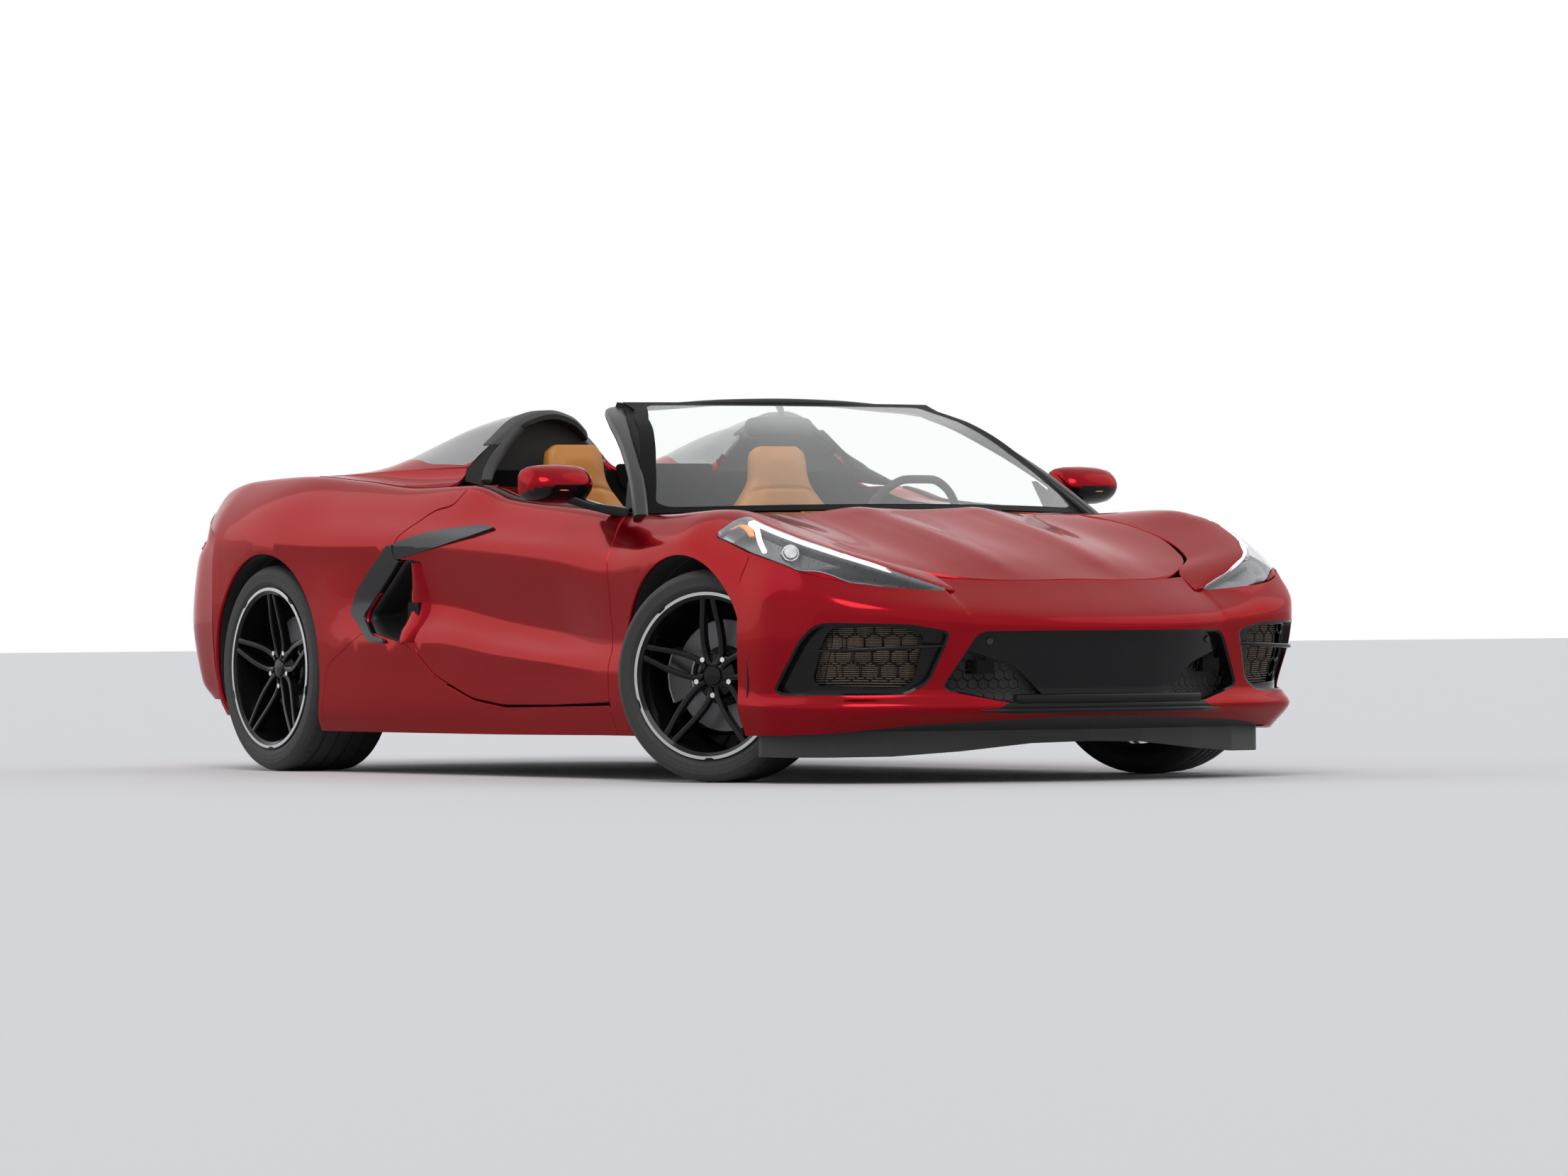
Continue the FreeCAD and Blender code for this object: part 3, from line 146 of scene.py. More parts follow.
# Sharp folds pressed along two of the lines: line, reach to each side of it, then station and height.
side_folds = (
    (2, 0.42, ((-1010, 0), (-560, 8.0), (480, 8.0), (800, 0))),
    (4, 0.38, ((-1560, 0), (-1300, 5.0), (-480, 5.0), (-200, 0))),
)
# Shut lines and edges in side view, as (x, z); the lamp's edge is seen from above, as (x, y).
door_shut = ((861, 250), (868, 640), (850, 730), (800, 822), (795, 1000), (-170, 1000), (-180, 934),
             (-230, 869), (-349, 855), (-440, 806), (-500, 764), (-500, 700), (-350, 696), (-322, 533),
             (-373, 414), (-258, 330), (-16, 253), (180, 232), (500, 234), (861, 244))
intake_rim = ((-90, 716), (-148, 676), (-240, 575), (-246, 487), (-290, 430), (-540, 430), (-640, 452),
              (-712, 513), (-636, 579), (-470, 702), (-282, 712))
blade_rim = ((78, 793), (-4, 809), (-300, 782), (-451, 757), (-540, 744), (-659, 671), (-747, 605),
             (-797, 530), (-663, 435), (-551, 426), (-550, 440), (-640, 454), (-712, 515), (-636, 579),
             (-470, 700), (-282, 714), (-90, 728))
sill_rim = ((864, 100), (864, 232), (500, 226), (180, 222), (-16, 243), (-264, 318), (-385, 405), (-420, 424),
            (-690, 470), (-950, 360), (-1012, 205), (-1012, 100))
tail_seam = ((-1804, 100), (-1804, 800), (-1960, 826), (-2050, 854), (-2110, 886), (-2200, 900), (-2200, 100))
nose_seam = ((1648, 100), (1648, 699), (1720, 681), (1800, 660), (1876, 641), (1966, 613), (2024, 597),
             (2055, 588), (2073, 579), (2200, 579), (2200, 100))
wing_foot = np.array(((0.70, 0.05), (0.866, 0.05), (0.866, 0.60), (0.70, 0.60)))
lamp_rim = ((1440, 908), (1520, 826), (1598, 836), (1668, 826), (1775, 800), (1928, 720), (2011, 600),
            (2068, 460), (2070, 474), (2052, 610), (1990, 758), (1873, 868), (1760, 890), (1654, 903))
wheel_arches = {"front": (1315.0, 317.0, 380.0), "rear": (-1407.0, 335.5, 392.0)}
shut_gap = 0.006
seam_gap = 0.002
lamp_gap = 0.003


def curve_through(knots, at):
    """Rows of a smooth curve through knots (u, a, b, ...) at the positions given, with no overshoot."""
    table = np.array(sorted(knots), float)
    u, w = table[:, 0], table[:, 1:]
    slope = np.diff(w, axis=0) / np.diff(u)[:, None]
    pull = np.zeros_like(w)
    pull[0], pull[-1] = slope[0], slope[-1]
    both = slope[:-1] + slope[1:]
    same = slope[:-1] * slope[1:] > 0
    pull[1:-1] = np.where(same, 2 * slope[:-1] * slope[1:] / np.where(same, both, 1), 0)
    at = np.clip(np.asarray(at, float), u[0], u[-1])
    i = np.clip(np.searchsorted(u, at, side="right") - 1, 0, len(u) - 2)
    h = (u[i + 1] - u[i])[:, None]
    t = (at - u[i])[:, None] / h
    return (w[i] * (2 * t ** 3 - 3 * t ** 2 + 1) + pull[i] * h * (t ** 3 - 2 * t ** 2 + t)
            + w[i + 1] * (3 * t ** 2 - 2 * t ** 3) + pull[i + 1] * h * (t ** 3 - t ** 2))


def faired(net, passes, axis):
    """The net with its kinks eased along one direction and its edges kept."""
    net = np.moveaxis(net, axis, 0).copy()
    for _ in range(passes):
        grown_net = np.concatenate([2 * net[:1] - net[1:2], net, 2 * net[-1:] - net[-2:-1]])
        net = (grown_net[:-2] + 2 * net + grown_net[2:]) / 4
    return np.moveaxis(net, 0, axis)


class Sheet:
    """A smooth surface as a dense net of points over (u, v), with a normal at each."""

    def __init__(self, us, vs, net, sign):
        self.us, self.vs, self.net = us, vs, net
        normal = np.cross(np.gradient(net, axis=0), np.gradient(net, axis=1)) * sign
        self.normal = normal / np.maximum(np.linalg.norm(normal, axis=2, keepdims=True), 1e-12)

    def at(self, uv):
        """Points and normals at an array of (u, v)."""
        uv = np.atleast_2d(np.asarray(uv, float))
        fu = np.clip((uv[:, 0] - self.us[0]) / (self.us[1] - self.us[0]), 0, len(self.us) - 1.001)
        fv = np.clip((uv[:, 1] - self.vs[0]) / (self.vs[1] - self.vs[0]), 0, len(self.vs) - 1.001)
        i, j = fu.astype(int), fv.astype(int)
        a, b = (fu - i)[:, None], (fv - j)[:, None]
        found = []
        for field in (self.net, self.normal):
            found.append((field[i, j] * (1 - a) + field[i + 1, j] * a) * (1 - b)
                         + (field[i, j + 1] * (1 - a) + field[i + 1, j + 1] * a) * b)
        found[1] /= np.linalg.norm(found[1], axis=1, keepdims=True)
        return found

    def where(self, outline, axes, allowed=None):
        """(u, v) of an outline drawn in a plane view: axes are the two coordinates that the view shows."""
        outline, axes = np.asarray(outline, float), list(axes)
        coarse = self.net[::4, ::4][:, :, axes]
        mask = np.zeros(coarse.shape[:2])
        if allowed is not None:
            mask[:, (self.vs[::4] < allowed[0]) | (self.vs[::4] > allowed[1])] = 1e3
        near = [np.argmin(((coarse - point) ** 2).sum(axis=2) + mask) for point in outline]
        i, j = np.unravel_index(near, mask.shape)
        place = np.stack([self.us[::4][i], self.vs[::4][j]], axis=1)
        step = np.array([self.us[1] - self.us[0], self.vs[1] - self.vs[0]])
        for _ in range(12):
            miss = outline - self.at(place)[0][:, axes]
            ju, jv = ((self.at(place + step * d)[0] - self.at(place - step * d)[0])[:, axes] / 2
                      for d in ((1, 0), (0, 1)))
            det = ju[:, 0] * jv[:, 1] - ju[:, 1] * jv[:, 0]
            det = np.where(abs(det) < 1e-12, 1e-12, det)
            move = np.stack([(miss[:, 0] * jv[:, 1] - miss[:, 1] * jv[:, 0]) / det,
                             (ju[:, 0] * miss[:, 1] - ju[:, 1] * miss[:, 0]) / det], axis=1)
            place = np.clip(place + np.clip(move, -3, 3) * step, (self.us[0], self.vs[0]),
                            (self.us[-1], self.vs[-1]))
        return place


def rounded(outline, reach=45.0, pitch=14.0, scale=0.001):
    """A closed outline with each corner drawn round, in short even steps; millimetres in, metres out."""
    corners = np.array(outline, float)
    count = len(corners)
    points = []
    for k in range(count):
        before, here, after = corners[k - 1], corners[k], corners[(k + 1) % count]
        start = here + (before - here) * min(0.46, reach / max(np.linalg.norm(before - here), 1e-9))
        end = here + (after - here) * min(0.46, reach / max(np.linalg.norm(after - here), 1e-9))
        for t in np.linspace(0, 1, 7):
            points.append(start * (1 - t) ** 2 + here * 2 * t * (1 - t) + end * t * t)
    points = np.array(points)
    ring = np.vstack([points, points[:1]])
    length = np.concatenate([[0], np.cumsum(np.linalg.norm(np.diff(ring, axis=0), axis=1))])
    even = np.linspace(0, length[-1], max(8, int(length[-1] / pitch)) + 1)[:-1]
    return np.stack([np.interp(even, length, ring[:, 0]), np.interp(even, length, ring[:, 1])],
                    axis=1) * scale


def circle(middle_x, middle_z, radius, count=120):
    """A round outline; millimetres in, metres out."""
    turn = np.arange(count) * 2 * math.pi / count
    return np.stack([middle_x + radius * np.cos(turn), middle_z + radius * np.sin(turn)], axis=1) / 1000


def widened(loop, gap):
    """A closed loop moved outwards by gap."""
    area = np.sum(np.roll(loop[:, 0], 1) * loop[:, 1] - loop[:, 0] * np.roll(loop[:, 1], 1))
    run = np.roll(loop, -1, axis=0) - np.roll(loop, 1, axis=0)
    run /= np.maximum(np.linalg.norm(run, axis=1, keepdims=True), 1e-12)
    return loop + np.stack([run[:, 1], -run[:, 0]], axis=1) * gap * (1 if area > 0 else -1)


def within(loop, points):
    """True for each point inside a closed loop."""
    inside = np.zeros(len(points), bool)
    x, y = points[:, 0], points[:, 1]
    for (ax, ay), (bx, by) in zip(loop, np.roll(loop, -1, axis=0)):
        crosses = (ay > y) != (by > y)
        inside ^= crosses & (x < (bx - ax) * (y - ay) / (by - ay if by != ay else 1e-12) + ax)
    return inside


def between_loops(loops, points):
    """True for each point inside the first loop and outside the others."""
    keep = within(loops[0], points)
    for loop in loops[1:]:
        keep &= ~within(loop, points)
    return keep


def uv_frame(u0, u1, v0, v1, count_u, count_v):
    """A rectangle in (u, v) as a loop, with that many points along its sides."""
    along_u, along_v = np.linspace(u0, u1, count_u), np.linspace(v0, v1, count_v)
    return np.array([(u, v0) for u in along_u[:-1]] + [(u1, v) for v in along_v[:-1]]
                    + [(u, v1) for u in along_u[:0:-1]] + [(u0, v) for v in along_v[:0:-1]])


def solid_panel(name, points, normals, faces, inner, side):
    """A closed panel: its outer face has the sheet's own normals and its edges turn in softly."""
    points, normals, inner = (a * np.array([1, side, 1]) for a in (points, normals, inner))
    faces = np.array(faces)
    if side < 0:
        faces = faces[:, ::-1]
    count = len(points)
    edges = {}
    for a, b, c in faces:
        for edge in ((a, b), (b, c), (c, a)):
            edges[edge] = True
    border = [edge for edge in edges if edge[::-1] not in edges]
    lateral = np.zeros_like(points)
    for a, b in border:
        out_way = np.cross(points[b] - points[a], normals[a])
        out_way /= max(np.linalg.norm(out_way), 1e-12)
        lateral[a] += out_way
        lateral[b] += out_way
    lateral /= np.maximum(np.linalg.norm(lateral, axis=1, keepdims=True), 1e-12)
    soft = lateral + normals
    soft /= np.maximum(np.linalg.norm(soft, axis=1, keepdims=True), 1e-12)
    rim = np.array([(b, a, a + count, b + count) for a, b in border])
    mesh = bpy.data.meshes.new(name)
    mesh.from_pydata(np.vstack([points, inner]).tolist(), [],
                     faces.tolist() + (faces[:, ::-1] + count).tolist() + rim.tolist())
    mesh.polygons.foreach_set("use_smooth", [True] * len(mesh.polygons))
    split = [normals[faces.ravel()], -normals[faces[:, ::-1].ravel()]]
    for b, a, _, _ in rim:
        split.append(np.array([soft[b], soft[a], lateral[a], lateral[b]]))
    mesh.normals_split_custom_set(np.vstack(split).tolist())
    return in_scene(name, mesh)


def panel(name, sheet, inside, holes=(), wall=0.014, step=0.02, stretch=0.12, side=1, inward=None, lift=0.0,
          shift=(0, 0, 0)):
    """A panel cut from a sheet: inside and holes are closed loops of (u, v)."""
    scale = np.array([1.0, stretch])
    loops = [np.array(loop) * scale for loop in [inside, *holes]]
    low, high = loops[0].min(axis=0), loops[0].max(axis=0)
    grid = np.stack(np.meshgrid(np.arange(low[0] + step / 2, high[0], step),
                                np.arange(low[1] + step / 2, high[1], step)), axis=-1).reshape(-1, 2)
    grid = grid[between_loops(loops, grid)]
    edge_points = np.vstack(loops)
    near_edge = 0.45
    cells = set()
    for x, y in edge_points / step:
        for dx in (-near_edge, 0, near_edge):
            for dy in (-near_edge, 0, near_edge):
                cells.add((math.floor(x + dx), math.floor(y + dy)))
    grid = [p for p in grid if (math.floor(p[0] / step), math.floor(p[1] / step)) not in cells]
    verts = [Vector(p) for p in edge_points] + [Vector(p) for p in grid]
    edges, start = [], 0
    for loop in loops:
        edges += [(start + k, start + (k + 1) % len(loop)) for k in range(len(loop))]
        start += len(loop)
    flat, _, faces, _, _, _ = delaunay_2d_cdt(verts, edges, [], 0, 1e-6)
    flat = np.array([tuple(p) for p in flat])
    faces = np.array([tuple(f) for f in faces])
    faces = faces[between_loops(loops, flat[faces].mean(axis=1))]
    used = np.unique(faces)
    index = -np.ones(len(flat), int)
    index[used] = np.arange(len(used))
    faces, flat = index[faces], flat[used]
    points, normals = sheet.at(flat / scale)
    a, b, c = (points[faces[:, k]] for k in range(3))
    facing = np.einsum("ij,ij->i", np.cross(b - a, c - a), normals[faces[:, 0]])
    if np.sum(facing) < 0:
        faces = faces[:, ::-1]
    points = points + normals * lift + np.array(shift)
    inner = points - normals * wall if inward is None else points + np.array(inward)
    return solid_panel(name, points, normals, faces, inner, side)


def side_sheet(edge_line, low, high):
    """The sheet of the body's left side between two stations, closed by that inner edge line."""
    us = np.arange(low, high + 1, 10.0)
    rows = faired(np.stack([curve_through(line, us) for line in side_lines + (edge_line,)], axis=1), 14, 0)
    vs = np.linspace(0, 7, 113)
    net = np.zeros((len(us), len(vs), 3))
    for i, u in enumerate(us):
        net[i, :, 0] = u
        net[i, :, 1:] = curve_through([(k, *rows[i, k]) for k in range(8)], vs)
    net = faired(net, 10, 1)
    for line, reach, knots in side_folds:
        rise = np.interp(us, [x for x, _ in knots], [height for _, height in knots])
        net[:, :, 1] += rise[:, None] * np.clip(1 - abs(vs - line) / reach, 0, 1)
    return Sheet(us / 1000, vs, net / 1000, -1)


def grain_group():
    """Shader group: a noise over the surface as a mask, a colour between two and a bump."""
    group = bpy.data.node_groups.new("surface_grain", "ShaderNodeTree")
    for label, kind, value in (("Scale", "Float", 60.0), ("Detail", "Float", 4.0),
                               ("Colour Low", "Color", (0, 0, 0, 1)), ("Colour High", "Color", (1, 1, 1, 1)),
                               ("Rough Low", "Float", 0.3), ("Rough High", "Float", 0.5),
                               ("Bump", "Float", 0.1), ("Bump Depth", "Float", 0.001)):
        socket = group.interface.new_socket(name=label, in_out="INPUT", socket_type=f"NodeSocket{kind}")
        socket.default_value = value
    for label, kind in (("Colour", "Color"), ("Roughness", "Float"), ("Normal", "Vector"), ("Mask", "Float")):
        group.interface.new_socket(name=label, in_out="OUTPUT", socket_type=f"NodeSocket{kind}")
    start, end, place, noise, mixer, rough, bump = (group.nodes.new(kind) for kind in (
        "NodeGroupInput", "NodeGroupOutput", "ShaderNodeTexCoord", "ShaderNodeTexNoise", "ShaderNodeMix",
        "ShaderNodeMapRange", "ShaderNodeBump"))
    mixer.data_type = "RGBA"
    rough.inputs["From Min"].default_value, rough.inputs["From Max"].default_value = 0.3, 0.7
    for source, target in (
            (place.outputs["Object"], noise.inputs["Vector"]),
            (start.outputs["Scale"], noise.inputs["Scale"]),
            (start.outputs["Detail"], noise.inputs["Detail"]), (noise.outputs["Fac"], mixer.inputs[0]),
            (start.outputs["Colour Low"], mixer.inputs[6]), (start.outputs["Colour High"], mixer.inputs[7]),
            (noise.outputs["Fac"], rough.inputs[0]), (start.outputs["Rough Low"], rough.inputs["To Min"]),
            (start.outputs["Rough High"], rough.inputs["To Max"]),
            (start.outputs["Bump"], bump.inputs["Strength"]),
            (start.outputs["Bump Depth"], bump.inputs["Distance"]),
            (noise.outputs["Fac"], bump.inputs["Height"]), (mixer.outputs[2], end.inputs["Colour"]),
            (rough.outputs[0], end.inputs["Roughness"]), (bump.outputs[0], end.inputs["Normal"]),
            (noise.outputs["Fac"], end.inputs["Mask"])):
        group.links.new(source, target)
    return group


surface_grain = grain_group()


def grained(name, low, high, scale=60.0, rough=(0.3, 0.5), bump=0.1, depth=0.001, **plain_sockets):
    """A finish whose colour, gloss and relief vary with one grain; with rough None only the colour does."""
    material = bpy.data.materials.new(name)
    material.use_nodes = True
    nodes_tree = material.node_tree
    shader = nodes_tree.nodes["Principled BSDF"]
    for socket, value in plain_sockets.items():
        shader.inputs[socket.replace("_", " ")].default_value = value
    grain = nodes_tree.nodes.new("ShaderNodeGroup")
    grain.node_tree = surface_grain
    values = {"Scale": scale, "Colour Low": (*low, 1), "Colour High": (*high, 1)}
    driven = {"Colour": "Base Color"}
    if rough is not None:
        values |= {"Rough Low": rough[0], "Rough High": rough[1], "Bump": bump, "Bump Depth": depth}
        driven |= {"Roughness": "Roughness", "Normal": "Normal"}
    for label, value in values.items():
        grain.inputs[label].default_value = value
    for label, socket in driven.items():
        nodes_tree.links.new(grain.outputs[label], shader.inputs[socket])
    return material


paint = grained("red_metallic_paint", (0.225, 0.0009, 0.0052), (0.325, 0.0022, 0.0105), scale=900.0,
                rough=(0.15, 0.21), bump=0.04, depth=0.0004, Metallic=0.7, Specular_IOR_Level=0.08,
                Specular_Tint=(0.75, 0.16, 0.19, 1), Coat_Weight=0.34, Coat_Roughness=0.03, Coat_IOR=1.33)
gloss_black = grained("gloss_black_plastic", (0.004, 0.004, 0.0045), (0.008, 0.008, 0.009), scale=200.0,
                      rough=(0.10, 0.15), bump=0.02, Specular_IOR_Level=0.16, Coat_Weight=0.10,
                      Coat_Roughness=0.03)
dull_black = grained("grained_black_plastic", (0.012, 0.012, 0.012), (0.026, 0.026, 0.027), scale=700.0,
                     rough=(0.5, 0.65), bump=0.25, depth=0.0008)


def dress(shape, body, finish, *stands_for):
    """Gives a finished piece its material and sets it on its body."""
    if finish is not None:
        shape.data.materials.append(finish)
    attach(shape, body)
    if stands_for:
        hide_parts(*stands_for)
    return shape


def below_crown(sheet, outline, top=6.0):
    """An outline in side view on the sheet: what lies above the crown is taken to the sheet's inner edge."""
    uv = sheet.where(outline, (0, 2), (0, top))
    uv[:, 0] = outline[:, 0]
    crown = np.interp(outline[:, 0], sheet.us, sheet.net[:, np.argmin(abs(sheet.vs - top)), 2])
    foot = np.interp(outline[:, 0], sheet.us, sheet.net[:, 0, 2])
    uv[outline[:, 1] >= crown, 1] = 7.2
    uv[outline[:, 1] <= foot, 1] = -0.2
    return uv


quarter_sheet = side_sheet(quarter_edge, -2120, -170)
door_sheet = side_sheet(door_edge, -520, 870)
wing_sheet = side_sheet(wing_edge, 798, 2068)
sill_sheet = side_sheet(door_edge, -1020, 870)
door_loop = rounded(door_shut, 40)
door_hole = widened(door_loop, shut_gap)
arch_loops = {axle: circle(*sizes) for axle, sizes in wheel_arches.items()}
lamp_loop = rounded(lamp_rim, 30, 10)
blade_loop = below_crown(quarter_sheet, rounded(blade_rim, 20))
sill_loop = rounded(sill_rim, 20)
wing_holes = [*(below_crown(wing_sheet, loop)
                for loop in (arch_loops["front"], door_hole, rounded(nose_seam, 4), wing_foot)),
              wing_sheet.where(widened(lamp_loop, lamp_gap), (0, 1), (4.6, 7))]
quarter_holes = [below_crown(quarter_sheet, loop) for loop in (
    arch_loops["rear"], door_hole, rounded(intake_rim, 40), rounded(tail_seam, 4), rounded(blade_rim, 20),
    widened(sill_loop, seam_gap))]
for side, name in sides:
    dress(panel(f"wing_{name}", wing_sheet, uv_frame(0.7985, 2.067, 0, 7, 105, 70), wing_holes, side=side),
          "body", paint)
    dress(panel(f"door_skin_{name}", door_sheet, below_crown(door_sheet, door_loop), side=side,
                inward=(0, -0.078, 0)), f"door_{name}", paint)
    dress(panel(f"quarter_{name}", quarter_sheet, uv_frame(-2.118, -0.175, 0, 7, 161, 70), quarter_holes,
                side=side), "body", paint)
    dress(panel(f"sill_{name}", sill_sheet, below_crown(sill_sheet, sill_loop),
                [below_crown(sill_sheet, arch_loops["rear"])], side=side, wall=0.02), "body", paint)
    dress(panel(f"quarter_blade_{name}", quarter_sheet, blade_loop,
                [below_crown(quarter_sheet, door_hole), below_crown(quarter_sheet, arch_loops["rear"])],
                side=side, wall=0.022, lift=0.008, step=0.012), "body", gloss_black)
for piece_name, node_name in (("wing_left", "wings"), ("quarter_left", "quarters"),
                              ("sill_left", "side_sills"), ("quarter_blade_left", "quarter_blades")):
    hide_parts(node_name)

# Front lid: one wide composite moulding over the front boot, painted with the body and hinged at its rear
# edge. Two soft creases run down it to the nose.
lid_half_rim = ((1160, 240), (1130, 420), (1085, 598), (1200, 591), (1400, 610), (1640, 611), (1850, 554),
                (1960, 440), (2030, 300), (2055, 150))
lid_rim = ((1175, 0), *lid_half_rim, (2060, 0), *((x, -y) for x, y in lid_half_rim[::-1]))
lid_lines = (
    ((1080, 0, 849), (1180, 0, 838), (1300, 0, 812), (1577, 0, 749), (1850, 0, 681), (2075, 0, 610)),
    ((1080, 215, 853), (1180, 212, 843), (1300, 208, 818), (1577, 203, 759), (1850, 196, 686),
     (2075, 185, 602)),
    ((1080, 450, 834), (1200, 440, 812), (1577, 430, 735), (1850, 415, 668), (2075, 400, 592)),
    ((1080, 640, 830), (1200, 635, 822), (1400, 640, 796), (1640, 640, 742), (1850, 610, 672),
     (2075, 560, 585)),
)
fold_rise, fold_reach = 0.0045, 0.070


def top_sheet(lines, low, high, half, passes=4):
    """A sheet seen from above through mirrored lengthwise lines (x, y, z), from the middle outwards."""
    us = np.arange(low, high + 1, 8.0)
    rows = faired(np.stack([curve_through(line, us) for line in lines], axis=1), 10, 0)
    vs = np.linspace(-half, half, 2 * int(half / 8) + 1)
    net = np.zeros((len(us), len(vs), 3))
    for i, u in enumerate(us):
        knots = [(y, z) for y, z in rows[i]] + [(-y, z) for y, z in rows[i] if y > 1]
        net[i, :, 0], net[i, :, 1] = u, vs
        net[i, :, 2] = curve_through(knots, vs)[:, 0]
    return Sheet(us / 1000, vs / 1000, faired(net, passes, 1) / 1000, 1)


def top_panel(name, sheet, rim, holes=(), wall=0.02, step=0.022):
    """A panel cut from a sheet seen from above, whose (u, v) are its (x, y) in metres."""
    return panel(name, sheet, rim, holes, wall=wall, stretch=1.0, step=step)


smooth_lid = top_sheet(lid_lines, 1080, 2075, 640)
lid_net = smooth_lid.net.copy()
fold_y = np.interp(lid_net[:, :, 0], (1.08, 2.075), (0.215, 0.185))
fold = (np.clip(1 - abs(abs(lid_net[:, :, 1]) - fold_y) / fold_reach, 0, 1)
        * np.interp(lid_net[:, :, 0], (1.10, 1.22, 1.92, 2.05), (0, 1, 1, 0)))
lid_net[:, :, 2] += fold_rise * fold
lid_sheet = Sheet(smooth_lid.us, smooth_lid.vs, lid_net, 1)
dress(top_panel("front_lid_skin", lid_sheet, rounded(lid_rim, 70), step=0.024), "front_lid", paint,
      "front_lid")

# Roof cover with a hump behind each seat, and the boot lid: painted mouldings over the stowed roof and the
# boot. The humps are finished in a dark satin grey, with black caps and seals at their open front ends.
cover_stations = (
    (-395, ((0, 985), (175, 1000), (275, 1095), (370, 1165), (450, 1183), (540, 1162), (640, 1085),
            (732, 1000))),
    (-530, ((0, 985), (180, 998), (280, 1090), (375, 1160), (452, 1178), (540, 1155), (640, 1080),
            (733, 1000))),
    (-705, ((0, 984), (195, 996), (295, 1075), (385, 1138), (458, 1156), (545, 1133), (640, 1068),
            (734, 998))),
    (-906, ((0, 982), (220, 993), (315, 1050), (400, 1098), (466, 1112), (550, 1090), (640, 1045),
            (734, 996))),
    (-1122, ((0, 980), (250, 988), (340, 1018), (415, 1040), (478, 1046), (560, 1033), (640, 1012),
             (734, 992))),
    (-1330, ((0, 978), (280, 981), (360, 988), (430, 994), (490, 996), (565, 994), (640, 991), (734, 989))),
)
boot_stations = (
    (-1336, ((0, 978), (280, 981), (490, 996), (640, 991), (734, 989))),
    (-1600, ((0, 958), (280, 962), (490, 980), (640, 984), (734, 986))),
    (-1850, ((0, 930), (280, 934), (490, 956), (640, 968), (734, 972))),
    (-2010, ((0, 912), (280, 916), (490, 934), (640, 944), (734, 948))),
    (-2095, ((0, 906), (280, 908), (490, 914), (640, 916), (712, 908))),
)
hump_rim = ((-397, 728), (-700, 712), (-980, 640), (-1180, 520), (-1180, 450), (-980, 345), (-700, 235),
            (-397, 172))
hump_grey = grained("satin_dark_grey_paint", (0.060, 0.060, 0.066), (0.085, 0.086, 0.094), scale=800.0,
                    rough=(0.30, 0.38), bump=0.03, depth=0.0004, Metallic=0.45, Coat_Weight=0.7,
                    Coat_Roughness=0.08)


def station_lines(stations):
    """Crosswise stations turned into lengthwise lines."""
    return [[(x, *rows[k]) for x, rows in stations] for k in range(len(stations[0][1]))]


cover_sheet = top_sheet(station_lines(cover_stations), -1330, -395, 734)
cover_rim = rounded(((-1330, -733), (-1330, 733), (-397, 731), (-397, -731)), 3)
hump_rims = [rounded([(x, side * y) for x, y in hump_rim], 60) for side, _ in sides]
dress(top_panel("roof_cover_skin", cover_sheet, cover_rim, hump_rims), "roof_cover", paint, "roof_cover")
for (_, name), rim_loop in zip(sides, hump_rims):
    dress(top_panel(f"hump_{name}", cover_sheet, rim_loop), "roof_cover", hump_grey)
boot_sheet = top_sheet(station_lines(boot_stations), -2095, -1336, 734)
boot_rim = rounded(((-1337, -733), (-1337, 733), (-2010, 733), (-2094, 711), (-2094, -711), (-2010, -733)), 8)
dress(top_panel("boot_lid_skin", boot_sheet, boot_rim, step=0.03), "boot_lid", paint, "boot_lid")

# Front bumper: one flexible plastic moulding in body colour, clipped to the wings and below the front lid. It
# has a wide middle opening and an intake at each side.
nose_columns = (
    ((2067, 0, 611), (2295, 0, 478), (2292, 0, 430), (2272, 0, 283), (2288, 0, 230), (2240, 0, 200)),
    ((2063, 150, 610), (2286, 150, 479), (2283, 150, 430), (2264, 150, 283), (2280, 150, 230),
     (2230, 150, 198)),
    ((2038, 300, 611), (2258, 300, 484), (2254, 300, 430), (2234, 300, 283), (2252, 300, 230),
     (2200, 300, 192)),
    ((1985, 448, 619), (2202, 450, 492), (2198, 450, 430), (2177, 450, 282), (2198, 450, 230),
     (2140, 450, 185)),
    ((2073, 476, 579), (2193, 476, 494), (2189, 476, 430), (2167, 476, 282), (2189, 476, 230),
     (2131, 476, 184)),
    ((2055, 612, 588), (2148, 604, 503), (2144, 604, 430), (2118, 600, 280), (2144, 604, 230),
     (2088, 584, 178)),
    ((2024, 712, 597), (2108, 704, 515), (2104, 704, 430), (2074, 694, 280), (2098, 704, 230),
     (2038, 674, 168)),
    ((1966, 800, 613), (2050, 800, 528), (2048, 800, 430), (2015, 785, 280), (2038, 800, 230),
     (1980, 760, 158)),
    ((1876, 874, 641), (1980, 860, 539), (1978, 860, 430), (1945, 845, 278), (1966, 860, 230),
     (1915, 820, 152)),
    ((1800, 889, 660), (1890, 906, 553), (1890, 908, 430), (1862, 892, 275), (1880, 908, 232),
     (1840, 870, 149)),
    ((1720, 900, 681), (1780, 942, 569), (1780, 944, 430), (1765, 936, 272), (1775, 944, 234),
     (1760, 910, 147)),
    ((1648, 905, 699), (1648, 949, 580), (1648, 954, 430), (1648, 951, 300), (1648, 954, 236),
     (1648, 926, 146)),
)
grille_rim = ((-441, 458), (441, 458), (541, 283), (340, 240), (-340, 240), (-541, 283))
side_grille_rim = ((520, 458), (640, 480), (870, 487), (900, 431), (925, 268), (640, 268), (575, 300))


